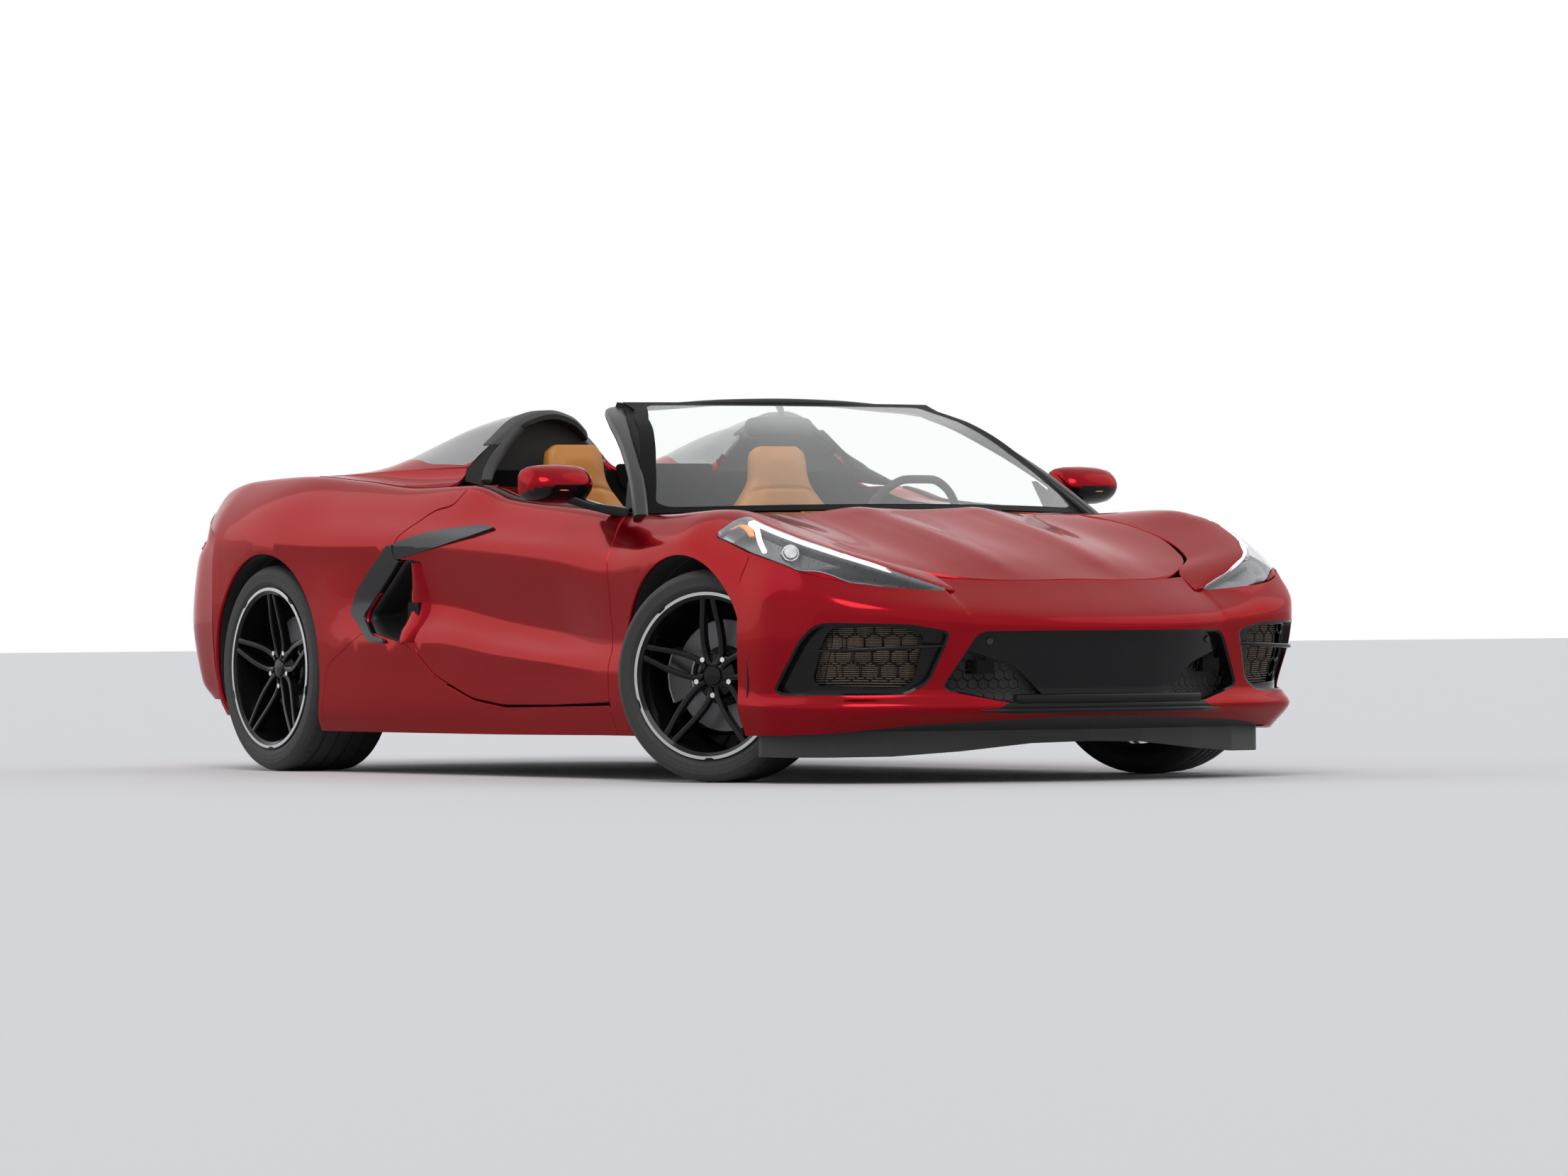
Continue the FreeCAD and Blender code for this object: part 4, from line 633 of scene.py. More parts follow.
def column_sheet(columns, sign, easing=3):
    """A sheet round an end of the car through mirrored columns of rows; u counts columns and v rows."""
    full = [[(x, -y, z) for x, y, z in c] for c in columns[:0:-1]] + [list(c) for c in columns]
    half = len(columns) - 1
    us, vs = np.linspace(-half, half, half * 32 + 1), np.linspace(0, 5, 81)
    rows = np.stack([curve_through([(k - half, *full[k][r]) for k in range(len(full))], us)
                     for r in range(6)], axis=1)
    net = np.stack([curve_through([(r, *rows[i, r]) for r in range(6)], vs) for i in range(len(us))])
    return Sheet(us, vs, faired(faired(net, easing, 1), easing, 0) / 1000, sign)


def end_panel(name, sheet, loop, holes=(), wall=0.014, step=0.14, lift=0.0):
    """A panel cut from the sheet of the nose or the tail."""
    return panel(name, sheet, loop, holes, wall=wall, step=step, stretch=1.0, lift=lift)


nose_sheet = column_sheet(nose_columns, -1)


def nose_loop(outline):
    """(u, v) of an outline in front view, between the upper edge and the chin."""
    return nose_sheet.where(outline, (1, 2), (1.0, 4.0))


grille_loop = nose_loop(rounded(grille_rim, 30))
side_hole = rounded(side_grille_rim, 26)
side_grille_loops = [nose_loop(side_hole * (side, 1)) for side, _ in sides]
dress(end_panel("front_bumper_skin", nose_sheet, uv_frame(-11, 11, 0, 5, 240, 40),
                [grille_loop, *side_grille_loops]), "body", paint, "front_bumper")

# Rear bumper: one flexible plastic moulding in body colour, clipped to the quarters below the boot lid. It
# holds the tail lamps in its upper corners, a step, a bare plate field and round holes for the exhaust.
tail_columns = (
    ((-2236, 0, 902), (-2212, 0, 790), (-2290, 0, 700), (-2315, 0, 512), (-2262, 0, 330), (-2200, 0, 250)),
    ((-2226, 300, 902), (-2204, 300, 790), (-2280, 300, 702), (-2306, 300, 512), (-2252, 300, 330),
     (-2190, 300, 250)),
    ((-2196, 500, 900), (-2182, 500, 790), (-2246, 500, 706), (-2280, 500, 512), (-2222, 500, 325),
     (-2160, 500, 248)),
    ((-2160, 650, 896), (-2148, 650, 790), (-2203, 650, 712), (-2240, 650, 510), (-2178, 650, 320),
     (-2120, 640, 245)),
    ((-2118, 752, 886), (-2108, 758, 788), (-2160, 755, 718), (-2200, 755, 509), (-2130, 750, 315),
     (-2075, 735, 243)),
    ((-2050, 822, 850), (-2042, 836, 784), (-2106, 836, 722), (-2145, 840, 508), (-2070, 838, 308),
     (-2020, 815, 240)),
    ((-1960, 868, 824), (-1956, 886, 776), (-1985, 897, 722), (-2010, 905, 508), (-1970, 900, 306),
     (-1950, 865, 238)),
    ((-1810, 902, 800), (-1810, 925, 770), (-1810, 943, 722), (-1810, 947, 508), (-1810, 930, 306),
     (-1810, 890, 236)),
)
tail_lamp_rim = ((430, 800), (800, 800), (872, 790), (880, 740), (840, 735), (700, 728), (520, 735))
plate_rim = ((-270, 545), (270, 545), (300, 690), (-300, 690))
tip_height = 0.325
tip_places = {"outer_right": -0.640, "inner_right": -0.525, "inner_left": 0.525, "outer_left": 0.640}
tail_sheet = column_sheet(tail_columns, 1, 2)
tail_lamp_glass = grained("smoked_red_lens", (0.03, 0.002, 0.003), (0.055, 0.004, 0.005), scale=40.0,
                          rough=(0.05, 0.1), bump=0.01, Specular_IOR_Level=0.2, Coat_Weight=0.25,
                          Coat_Roughness=0.02)
tail_loops = [tail_sheet.where(rounded(tail_lamp_rim, 16) * (side, 1), (1, 2), (0.6, 2.3))
              for side, _ in sides]
plate_loop = tail_sheet.where(rounded(plate_rim, 14), (1, 2), (1.6, 3.4))
tip_loops = [tail_sheet.where(circle(y * 1000, tip_height * 1000, 51, 40), (1, 2), (3.2, 5))
             for y in tip_places.values()]
dress(end_panel("rear_bumper_skin", tail_sheet, uv_frame(-7, 7, 0, 5, 160, 40),
                [*tail_loops, plate_loop, *tip_loops]), "body", paint, "rear_bumper")
for (_, name), rim_loop in zip(sides, tail_loops):
    dress(end_panel(f"tail_lamp_{name}", tail_sheet, rim_loop, wall=0.012, step=0.1), "body", tail_lamp_glass)
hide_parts("tail_lamps")

# Windscreen: a laminated glass pane with a black printed edge, bonded into a swept frame. The frame's pillars
# and header are painted satin black.
pillar_rows = ((905, 850, 812), (800, 797, 896), (690, 748, 972), (520, 680, 1068), (390, 630, 1130),
               (285, 576, 1165))
corner_row = (290, 560, 1168)
header_rows = ((304, 400, 1180), (314, 200, 1193), (318, 0, 1197))
screen_rows = ((1130, 836, 378), (880, 978, 290), (620, 1108, 190), (356, 1190, 105))
see_through_rim = ((0.12, -0.945), (2.86, -0.92), (2.86, 0.92), (0.12, 0.945))
pane_millimetres = np.array((300, 700))
pane_wall = 0.005


def smooth_path(points, count):
    """Evenly spaced points on a smooth curve through the points given."""
    points = np.array(points, float)
    reach = np.concatenate([[0], np.cumsum(np.linalg.norm(np.diff(points, axis=0), axis=1))])
    return curve_through([(reach[k], *points[k]) for k in range(len(points))],
                         np.linspace(0, reach[-1], count))


def finished(name, bm, sharp=None):
    """A bmesh as a smooth-shaded object, its normals outward; edges past the angle stay sharp."""
    bmesh.ops.remove_doubles(bm, verts=bm.verts, dist=1e-6)
    bmesh.ops.recalc_face_normals(bm, faces=bm.faces)
    mesh = bpy.data.meshes.new(name)
    bm.to_mesh(mesh)
    bm.free()
    mesh.polygons.foreach_set("use_smooth", [True] * len(mesh.polygons))
    if sharp is not None:
        mesh.set_sharp_from_angle(angle=math.radians(sharp))
    return in_scene(name, mesh)


def skin_between(bm, rings, ends=True, closed=False):
    """Faces between rings of points, with the two ends filled or the last ring joined to the first."""
    made = [[bm.verts.new(p) for p in ring] for ring in rings]
    for ring, after in zip(made, made[1:] + made[:1] if closed else made[1:]):
        for i in range(len(ring)):
            bm.faces.new((ring[i], ring[(i + 1) % len(ring)], after[(i + 1) % len(after)], after[i]))
    if ends and not closed:
        bm.faces.new(made[0][::-1])
        bm.faces.new(made[-1])
    return made


def swept(bm, path, section, upward=(0, 0, 1), scales=None):
    """Sweeps a closed section of (across, lift) along a path; section may be a function of the step."""
    path = np.array(path)
    rings = []
    for k in range(len(path)):
        run = path[min(k + 1, len(path) - 1)] - path[max(k - 1, 0)]
        run /= np.linalg.norm(run)
        across = np.cross(run, upward)
        across /= np.linalg.norm(across)
        lift = np.cross(across, run)
        size = 1.0 if scales is None else scales[k]
        rings.append([path[k] + across * a * size + lift * b * size
                      for a, b in (section(k) if callable(section) else section)])
    skin_between(bm, rings)


def lofted(name, rings, sharp, body, finish, *stands_for):
    """A piece that is a closed skin over rings of points."""
    bm = bmesh.new()
    skin_between(bm, rings)
    return dress(finished(name, bm, sharp), body, finish, *stands_for)


def rail(name, path, section, sharp, body, finish, *stands_for, upward=(0, 0, 1), scales=None):
    """A piece that is one swept section; scales are (steps, sizes) along the path."""
    bm = bmesh.new()
    swept(bm, path, section, upward, None if scales is None else np.interp(np.arange(len(path)), *scales))
    return dress(finished(name, bm, sharp), body, finish, *stands_for)


def soft_section(width, height, corner, steps=4):
    """A rectangle of (across, lift) with round corners."""
    points = []
    for cx, cy, start in ((1, 1, 0), (-1, 1, 90), (-1, -1, 180), (1, -1, 270)):
        for k in range(steps + 1):
            turn = math.radians(start + 90 * k / steps)
            points.append((cx * (width / 2 - corner) + corner * math.cos(turn),
                           cy * (height / 2 - corner) + corner * math.sin(turn)))
    return points


half_line = [*pillar_rows[:-1], corner_row, *header_rows]
frame_line = half_line + [(x, -y, z) for x, y, z in half_line[-2::-1]]
frame_path = smooth_path(np.array(frame_line) / 1000, 150)
header_share = np.clip((0.70 - np.abs(frame_path[:, 1])) / 0.16, 0, 1)
frame_widths, frame_heights = 0.050 + 0.034 * header_share, 0.036 - 0.012 * header_share
frame_paint = grained("satin_black_paint", (0.020, 0.019, 0.021), (0.032, 0.031, 0.034), scale=800.0,
                      rough=(0.25, 0.33), bump=0.03, depth=0.0004, Specular_IOR_Level=0.3)
rail("windscreen_frame_skin", frame_path,
     lambda k: soft_section(frame_widths[k], frame_heights[k], min(frame_widths[k], frame_heights[k]) * 0.42),
     50, "body", frame_paint, "windscreen_frame")


def screen_point(y, s):
    """A point of the pane's outer face: y in metres and s from 0 at the foot to 3 at the header."""
    x, z, bow = curve_through([(k, *row) for k, row in enumerate(screen_rows)], [s])[0]
    return np.array((x / 1000 - bow / 1000 * y ** 2, y, z / 1000 - 0.04 * bow / 1000 * y ** 2))


pane_s, pane_y = np.linspace(0, 3, 61), np.linspace(-1, 1, 81)
pillar_x, pillar_y, pillar_z = np.array(pillar_rows).T / 1000
pane_net = np.zeros((61, 81, 3))
for i, s in enumerate(pane_s):
    for j, t in enumerate(pane_y):
        half = 0.85
        for _ in range(3):
            half = np.interp(screen_point(half, s)[2], pillar_z, pillar_y) - 0.004
        pane_net[i, j] = screen_point(half * t, s)
pane_sheet = Sheet(pane_s, pane_y, pane_net, 1)
see_through = rounded(see_through_rim * pane_millimetres, 60, 14) * 1000 / pane_millimetres
glass = grained("laminated_glass", (0.93, 0.97, 0.95), (0.95, 0.985, 0.97), scale=6.0, rough=None,
                Transmission_Weight=1.0, Roughness=0.0, IOR=1.45)
frit = grained("black_glass_edge", (0.004, 0.004, 0.004), (0.008, 0.008, 0.008), rough=(0.45, 0.55),
               bump=0.01, Specular_IOR_Level=0.05)
dress(panel("windscreen_pane", pane_sheet, see_through, wall=pane_wall, step=0.05, stretch=1.6),
      "body", glass, "windscreen")
dress(panel("windscreen_edge", pane_sheet, uv_frame(0, 3, -1, 1, 60, 70), [see_through], wall=pane_wall,
            step=0.05, stretch=1.6), "body", frit)
for side, name in sides:
    trim_rings = []
    for k in np.linspace(0, len(pane_s) - 1, 40).astype(int):
        edge = pane_net[k, -1] * (1, side, 1)
        post = np.array((np.interp(edge[2], pillar_z, pillar_x), edge[1], edge[2]))
        reach = edge + (0.008, -side * 0.010, 0.001)
        trim_rings.append([reach, post + (0, 0, 0.006), post + (-0.012, 0, -0.010),
                           reach + (-0.006, 0, -0.009)])
    lofted(f"pillar_trim_{name}", trim_rings, 60, "body", frit)

# Headlamps: a clear lens flush with the wing over a dark bucket, with a white light bar along its upper edge,
# a second bar that turns down at the rear, an amber side lamp and a round projector.
upper_bar = ((1560, 842), (1668, 832), (1775, 806), (1880, 754), (1955, 676), (2012, 575), (2048, 485))
rear_bar = ((1545, 842), (1600, 858), (1650, 880), (1690, 889))
amber_line = ((1480, 880), (1520, 862), (1560, 868), (1600, 880))
projector_place = (1770, 850)
lamp_glass = grained("clear_lens", (0.95, 0.96, 0.98), (0.99, 0.99, 1), scale=9.0, rough=None,
                     Transmission_Weight=1.0, Roughness=0.0, IOR=1.3)
bucket_finish = grained("lamp_bucket", (0.11, 0.112, 0.12), (0.18, 0.184, 0.194), scale=120.0,
                        rough=(0.25, 0.4), bump=0.05, Metallic=0.6)
light_bar = grained("white_light_bar", (0.85, 0.87, 0.9), (0.95, 0.96, 1.0), scale=60.0, rough=(0.15, 0.25),
                    bump=0.02, Emission_Color=(1, 0.98, 0.95, 1), Emission_Strength=0.8)
amber = grained("amber_lens", (0.75, 0.20, 0.02), (0.9, 0.32, 0.04), scale=90.0, rough=(0.15, 0.25), bump=0.1,
                Emission_Color=(1, 0.35, 0.04, 1), Emission_Strength=0.15)
lens_chrome = grained("lamp_chrome", (0.22, 0.225, 0.24), (0.34, 0.345, 0.36), scale=60.0, rough=(0.05, 0.12),
                      bump=0.01, Metallic=1.0)


def on_wing(points_xy, depth):
    """Points under the wing's sheet, at that depth, from (x, y) in millimetres."""
    point, normal = wing_sheet.at(wing_sheet.where(np.array(points_xy) / 1000, (0, 1), (4.6, 7)))
    return point - normal * depth


lamp_uv = wing_sheet.where(lamp_loop, (0, 1), (4.6, 7))
for side, name in sides:
    flip = np.array((1, side, 1))
    dress(panel(f"lamp_lens_{name}", wing_sheet, lamp_uv, wall=0.004, step=0.012, side=side), "body",
          lamp_glass)
    points, normals = wing_sheet.at(lamp_uv)
    bucket_bm = bmesh.new()
    floor_points = points * 0.93 + points.mean(axis=0) * 0.07 - normals * 0.046
    rings = [(points - normals * depth) * flip for depth in (0.0045, 0.030)] + [floor_points * flip]
    floor_ring = skin_between(bucket_bm, rings, ends=False)[-1]
    floor_edges = [bucket_bm.edges.get(pair) for pair in zip(floor_ring, floor_ring[1:] + floor_ring[:1])]
    bmesh.ops.triangle_fill(bucket_bm, edges=floor_edges, use_beauty=True)
    bucket = finished(f"lamp_bucket_{name}", bucket_bm, 40)
    thick = bucket.modifiers.new("wall", "SOLIDIFY")
    thick.thickness, thick.offset = 0.002, 0
    dress(bucket, "body", bucket_finish)
    bars_bm = bmesh.new()
    for line, depth, width in ((upper_bar, 0.010, 0.015), (rear_bar, 0.016, 0.016)):
        swept(bars_bm, smooth_path(on_wing(line, depth) * flip, 40),
              soft_section(width, width * 0.8, width * 0.3))
    dress(finished(f"lamp_bars_{name}", bars_bm, 40), "body", light_bar)
    rail(f"lamp_amber_{name}", smooth_path(on_wing(amber_line, 0.018) * flip, 20),
         soft_section(0.030, 0.010, 0.004), 40, "body", amber, scales=((0, 8, 19), (0.4, 1, 0.6)))
    eye_bm = bmesh.new()
    centre = on_wing([projector_place], 0.034)[0] * flip
    aim = Vector((0.86, side * 0.42, 0.28)).normalized()
    aim_turn = aim.to_track_quat("Z", "Y").to_matrix().to_4x4()
    for radius, depth, length in ((0.030, 0.0, 0.012), (0.022, 0.010, 0.008)):
        matrix = Matrix.Translation(Vector(centre) + aim * depth) @ aim_turn
        bmesh.ops.create_cone(eye_bm, cap_ends=True, segments=32, radius1=radius, radius2=radius * 0.86,
                              depth=length, matrix=matrix)
    dress(finished(f"lamp_projector_{name}", eye_bm, 35), "body", lens_chrome)
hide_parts("headlamps")

# Doors: painted skins over a moulded inner card, each with its mirror on an arm, a black glass corner by the
# pillar, a rubber strip at the glass and the front end of the black blade.
door_blade_rim = ((92, 794), (-10, 803), (-300, 785), (-451, 759), (-494, 751), (-494, 703), (-470, 702),
                  (-368, 718), (-200, 741), (-25, 767))
card_joint = 700
high_card_rim = ((864, 704), (850, 730), (800, 806), (-150, 900), (-225, 850), (-340, 838), (-430, 790),
                 (-490, 750), (-490, 704))
armrest_line = ((-0.12, 0.835, 0.56), (0.10, 0.832, 0.555), (0.34, 0.830, 0.575), (0.52, 0.833, 0.63))
mirror_x, mirror_z = 0.590, 0.928
mirror_section = ((-22, -62), (40, -66), (92, -44), (116, -8), (102, 26), (56, 56), (-22, 63))
mirror_widths = ((0.882, 0.60), (0.886, 0.74), (0.900, 0.88), (0.930, 0.97), (0.985, 1.0), (1.040, 0.96),
                 (1.076, 0.86), (1.093, 0.72), (1.099, 0.52))
mirror_glass_rim = ((-80, -36), (80, -38), (84, 10), (60, 40), (-70, 42), (-84, 0))
mirror_arm_line = ((0.790, 0.812, 0.830), (0.756, 0.838, 0.838), (0.706, 0.878, 0.850), (0.664, 0.912, 0.864),
                   (0.634, 0.948, 0.880))
indicator_line = ((0.690, 0.950, 0.908), (0.693, 0.995, 0.906), (0.684, 1.040, 0.908), (0.665, 1.070, 0.911))
glass_corner = ((0.862, 0.806, 0.822), (0.700, 0.786, 0.842), (0.668, 0.757, 0.935), (0.688, 0.762, 0.935))
tan_leather = grained("tan_leather", (0.56, 0.205, 0.032), (0.68, 0.275, 0.048), scale=420.0,
                      rough=(0.45, 0.6), bump=0.35, depth=0.0012, Coat_Weight=0.08)
soft_black = grained("black_leather_trim", (0.014, 0.013, 0.013), (0.03, 0.029, 0.028), scale=480.0,
                     rough=(0.5, 0.68), bump=0.3, depth=0.001)
rubber = grained("black_rubber", (0.010, 0.010, 0.010), (0.022, 0.022, 0.022), scale=260.0, rough=(0.62, 0.8),
                 bump=0.12)
mirror_face = grained("mirror_glass", (0.78, 0.8, 0.82), (0.86, 0.88, 0.9), scale=20.0, rough=(0.02, 0.04),
                      bump=0.0, Metallic=1.0)
card_rims = (("card", rounded([(x, min(z, card_joint)) for x, z in door_shut], 40), tan_leather),
             ("card_top", rounded(high_card_rim, 20), soft_black))
mirror_outline = rounded(mirror_section, 34, 7)
first = int(np.argmax(np.abs(mirror_outline[:, 0] + 0.02) < 0.006))
mirror_outline = np.roll(mirror_outline, -first, axis=0)
for side, name in sides:
    flip, body = np.array((1, side, 1)), f"door_{name}"
    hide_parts(body)
    dress(panel(f"door_blade_{name}", door_sheet, below_crown(door_sheet, rounded(door_blade_rim, 16)),
                side=side, wall=0.008, lift=0.008, step=0.012), body, gloss_black)
    for part, outline, finish in card_rims:
        dress(panel(f"door_{part}_{name}", door_sheet, below_crown(door_sheet, outline), side=side,
                    shift=(0, -0.0785, 0), inward=(0, -0.013, 0)), body, finish)
    strip_points, _ = door_sheet.at([(x, 6.45) for x in np.linspace(-0.165, 0.775, 40)])
    rail(f"door_glass_seal_{name}", strip_points * flip, soft_section(0.022, 0.010, 0.004, 3), 60, body,
         rubber)
    rail(f"door_armrest_{name}", smooth_path(armrest_line * flip, 24), soft_section(0.052, 0.050, 0.018), 60,
         body, soft_black, scales=((0, 3, 18, 23), (0.6, 1, 0.95, 0.5)))
    shell_bm = bmesh.new()
    skin_between(shell_bm, [[(mirror_x + dx * k - 0.02 * (1 - k), side * y, mirror_z + dz * k)
                             for dx, dz in mirror_outline] for y, k in mirror_widths])
    shell = finished(f"mirror_shell_{name}", shell_bm, 50)
    shell.data.materials.append(paint)
    shell.data.materials.append(gloss_black)
    for face in shell.data.polygons:
        dx, dz = face.center.x - mirror_x, face.center.z - mirror_z
        face.material_index = int(dz < 0.25 * (dx - 0.09) - 0.012 or dx < -0.004)
    dress(shell, body, None)
    lofted(f"mirror_glass_{name}",
           [[(mirror_x - 0.0215 - back, side * (0.992 + u * 1.06), mirror_z + 0.003 + w * 1.05)
             for u, w in rounded(mirror_glass_rim, 18, 6)] for back in (0.0, 0.0025)], 30, body, mirror_face)
    rail(f"mirror_arm_{name}", smooth_path(mirror_arm_line * flip, 20), soft_section(0.070, 0.030, 0.010), 50,
         body, gloss_black, scales=((0, 10, 19), (1.2, 0.85, 1.05)))
    rail(f"mirror_indicator_{name}", smooth_path(indicator_line * flip, 16),
         soft_section(0.006, 0.005, 0.002, 2), 50, body, amber)
    corner_bm = bmesh.new()
    skin_between(corner_bm, [(np.array(glass_corner) + (0, shift, 0)) * flip for shift in (-0.004, 0.002)])
    bmesh.ops.bevel(corner_bm, geom=corner_bm.edges[:], offset=0.0015, segments=2, affect="EDGES")
    dress(finished(f"door_corner_{name}", corner_bm, 40), body, rubber)

# Side intake: the quarter's painted flank turns inward behind the door, and a dark moulded duct behind the
# blade leads the air on to the engine.
flank_front = np.array(((0.428, -0.378), (0.455, -0.362), (0.490, -0.344), (0.533, -0.330), (0.600, -0.334),
                        (0.690, -0.354)))
flank_turn = np.array(((0.0, 0.003), (0.012, -0.006), (0.036, -0.012), (0.070, -0.013), (0.095, -0.008),
                       (0.112, 0.006), (0.124, 0.030), (0.130, 0.090)))
duct_rim = ((-352, 688), (-326, 533), (-380, 424), (-540, 434), (-640, 456), (-710, 515), (-636, 577),
            (-470, 698))
duct_steps = ((0.016, 1.02, 0), (0.05, 0.98, 0.01), (0.10, 0.88, 0.04), (0.135, 0.7, 0.07),
              (0.145, 0.3, 0.08))
duct_finish = grained("duct_plastic", (0.008, 0.008, 0.008), (0.02, 0.02, 0.02), scale=300.0,
                      rough=(0.45, 0.6), bump=0.15)
flank_deep = flank_turn[:, 1:] * (0, 1, 0)
for side, name in sides:
    flip = np.array((1, side, 1))
    flank_rings = []
    for z in np.linspace(0.430, 0.688, 40):
        front = np.interp(z, flank_front[:, 0], flank_front[:, 1])
        slant = np.interp(z, (0.430, 0.47, 0.58, 0.688), (0.75, 1.0, 1.0, 0.45))
        row = [(front - back * slant, z) for back in flank_turn[:, 0]]
        outer = quarter_sheet.at(quarter_sheet.where(row, (0, 2), (0.5, 5.8)))[0] - flank_deep
        flank_rings.append([*(outer * flip), *((outer + (0.003, -0.004, 0))[::-1] * flip)])
    lofted(f"intake_flank_{name}", flank_rings, 60, "body", paint)
rim_points, _ = quarter_sheet.at(below_crown(quarter_sheet, rounded(duct_rim, 24)))
middle = rim_points.mean(axis=0)
duct_rings = [middle + (rim_points - middle) * (size, 0.3 if inward > 0.02 else 1, size) - (back, inward, 0)
              for inward, size, back in duct_steps]
for side, name in sides:
    duct_bm = bmesh.new()
    duct_bm.faces.new(skin_between(duct_bm, np.array(duct_rings) * (1, side, 1), ends=False)[-1])
    duct = finished(f"intake_duct_{name}", duct_bm, 50)
    duct.modifiers.new("wall", "SOLIDIFY").thickness = 0.003
    dress(duct, "body", duct_finish)

# Wheels: cast aluminium in gloss black, five spokes of two blades each, a machined outer lip, chrome nuts
# and a bare cap. The tyres have four grooves and slotted shoulders; plain discs turn behind the spokes.
wheel_sizes = {
    "front": dict(x=1.315, track=0.824, radius=0.327, half=0.1225, rim=0.116, bead=0.243, flange=0.258,
                  face=0.112, disc=0.172, steer=math.radians(28.5)),
    "rear": dict(x=-1.407, track=0.793, radius=0.3455, half=0.1525, rim=0.147, bead=0.256, flange=0.271,
                 face=0.146, disc=0.175, steer=0.0),
}
kingpin_y = 0.750
# radius, sideways place, half breadth, face level, depth of each spoke blade
blade_rows = ((34, 12, 10, -34, 22), (52, 24, 10.5, -35, 26), (76, 29.5, 10, -33, 28),
              (110, 31.5, 9.5, -26, 28), (150, 29, 9.5, -18, 28), (195, 22.5, 9.5, -10, 27),
              (231, 17.5, 10.5, -4, 26))
spoke_count, nut_circle, bead_at_drawing = 5, 0.060, 0.234
machined = grained("machined_aluminium", (0.40, 0.41, 0.42), (0.56, 0.57, 0.58), scale=340.0,
                   rough=(0.18, 0.3), bump=0.05, Metallic=1.0)
chrome = grained("chrome", (0.66, 0.67, 0.68), (0.80, 0.80, 0.81), scale=50.0, rough=(0.04, 0.1), bump=0.01,
                 Metallic=1.0)
tyre_rubber = grained("tyre_rubber", (0.017, 0.016, 0.016), (0.036, 0.034, 0.033), scale=140.0,
                      rough=(0.62, 0.82), bump=0.2, depth=0.0008)
disc_steel = grained("brake_disc_iron", (0.075, 0.075, 0.078), (0.14, 0.14, 0.145), scale=260.0,
                     rough=(0.28, 0.45), bump=0.08, Metallic=0.9)
caliper_black = grained("caliper_paint", (0.01, 0.01, 0.011), (0.022, 0.022, 0.024), scale=150.0,
                        rough=(0.25, 0.35), bump=0.05, Coat_Weight=0.4)


def on_axle(points, axle, side):
    """Points of a wheel about the Y axis, outer side towards +Y, put in their place on the axle."""
    middle = (axle["x"], side * axle["track"], axle["radius"])
    there = np.array(points, float).reshape(-1, 3) * (1, side, 1) + middle
    if axle["steer"]:
        c, s = math.cos(axle["steer"]), math.sin(axle["steer"])
        pin = np.array((axle["x"], side * kingpin_y, 0))
        there = (there - pin) @ np.array(((c, s, 0), (-s, c, 0), (0, 0, 1))) + pin
    return there


def wheel_piece(name, bm, axle, side, sharp):
    """Moves what is in bm onto its axle and makes it an object."""
    for vert, place in zip(bm.verts, on_axle([vert.co[:] for vert in bm.verts], axle, side)):
        vert.co = place
    return finished(name, bm, sharp)


def lathed(bm, profile_at, count):
    """A closed ring about the Y axis; profile_at is its (radius, y) outline, or gives it at step k."""
    turns = [2 * math.pi * k / count for k in range(count)]
    skin_between(bm, [[(r * math.cos(turn), y, r * math.sin(turn))
                       for r, y in (profile_at(k) if callable(profile_at) else profile_at)]
                      for k, turn in enumerate(turns)], closed=True)


def turned_piece(name, outline, count, axle, side, sharp, body, finish, *stands_for):
    """A piece of a wheel that is one outline turned about the axle."""
    bm = bmesh.new()
    lathed(bm, outline, count)
    dress(wheel_piece(name, bm, axle, side, sharp), body, finish, *stands_for)


def tyre_profile(axle):
    """Outline of a tyre from the outer bead over the tread to the inner bead."""
    seat, flange, half, radius = axle["rim"] - 0.0105, axle["flange"], axle["half"], axle["radius"]
    wall = smooth_path([(flange + 0.0005, seat + 0.004, 0), (flange + 0.008, half - 0.007, 0),
                        (flange + 0.016, half - 0.002, 0), ((flange + radius) / 2 + 0.006, half, 0),
                        (radius - 0.012, half - 0.009, 0), (radius - 0.003, half - 0.024, 0)], 22)[:, :2]
    wall[[5, 6, 9, 12, 13], 1] += 0.0009
    tread, reach = [], half - 0.024
    for middle in (reach * 0.62, reach * 0.2):
        for dy, down in ((0.0055, 0), (0.0045, 0.007), (-0.0045, 0.007), (-0.0055, 0)):
            y = middle + dy
            tread.append((radius - 0.003 * (y / reach) ** 2 - down, y))
    half_outline = [(axle["bead"] + 0.0004, seat), *map(tuple, wall), (radius - 0.0012, reach * 0.9), *tread,
                    (radius, 0.0)]
    return half_outline + [(r, -y) for r, y in half_outline[-2::-1]]


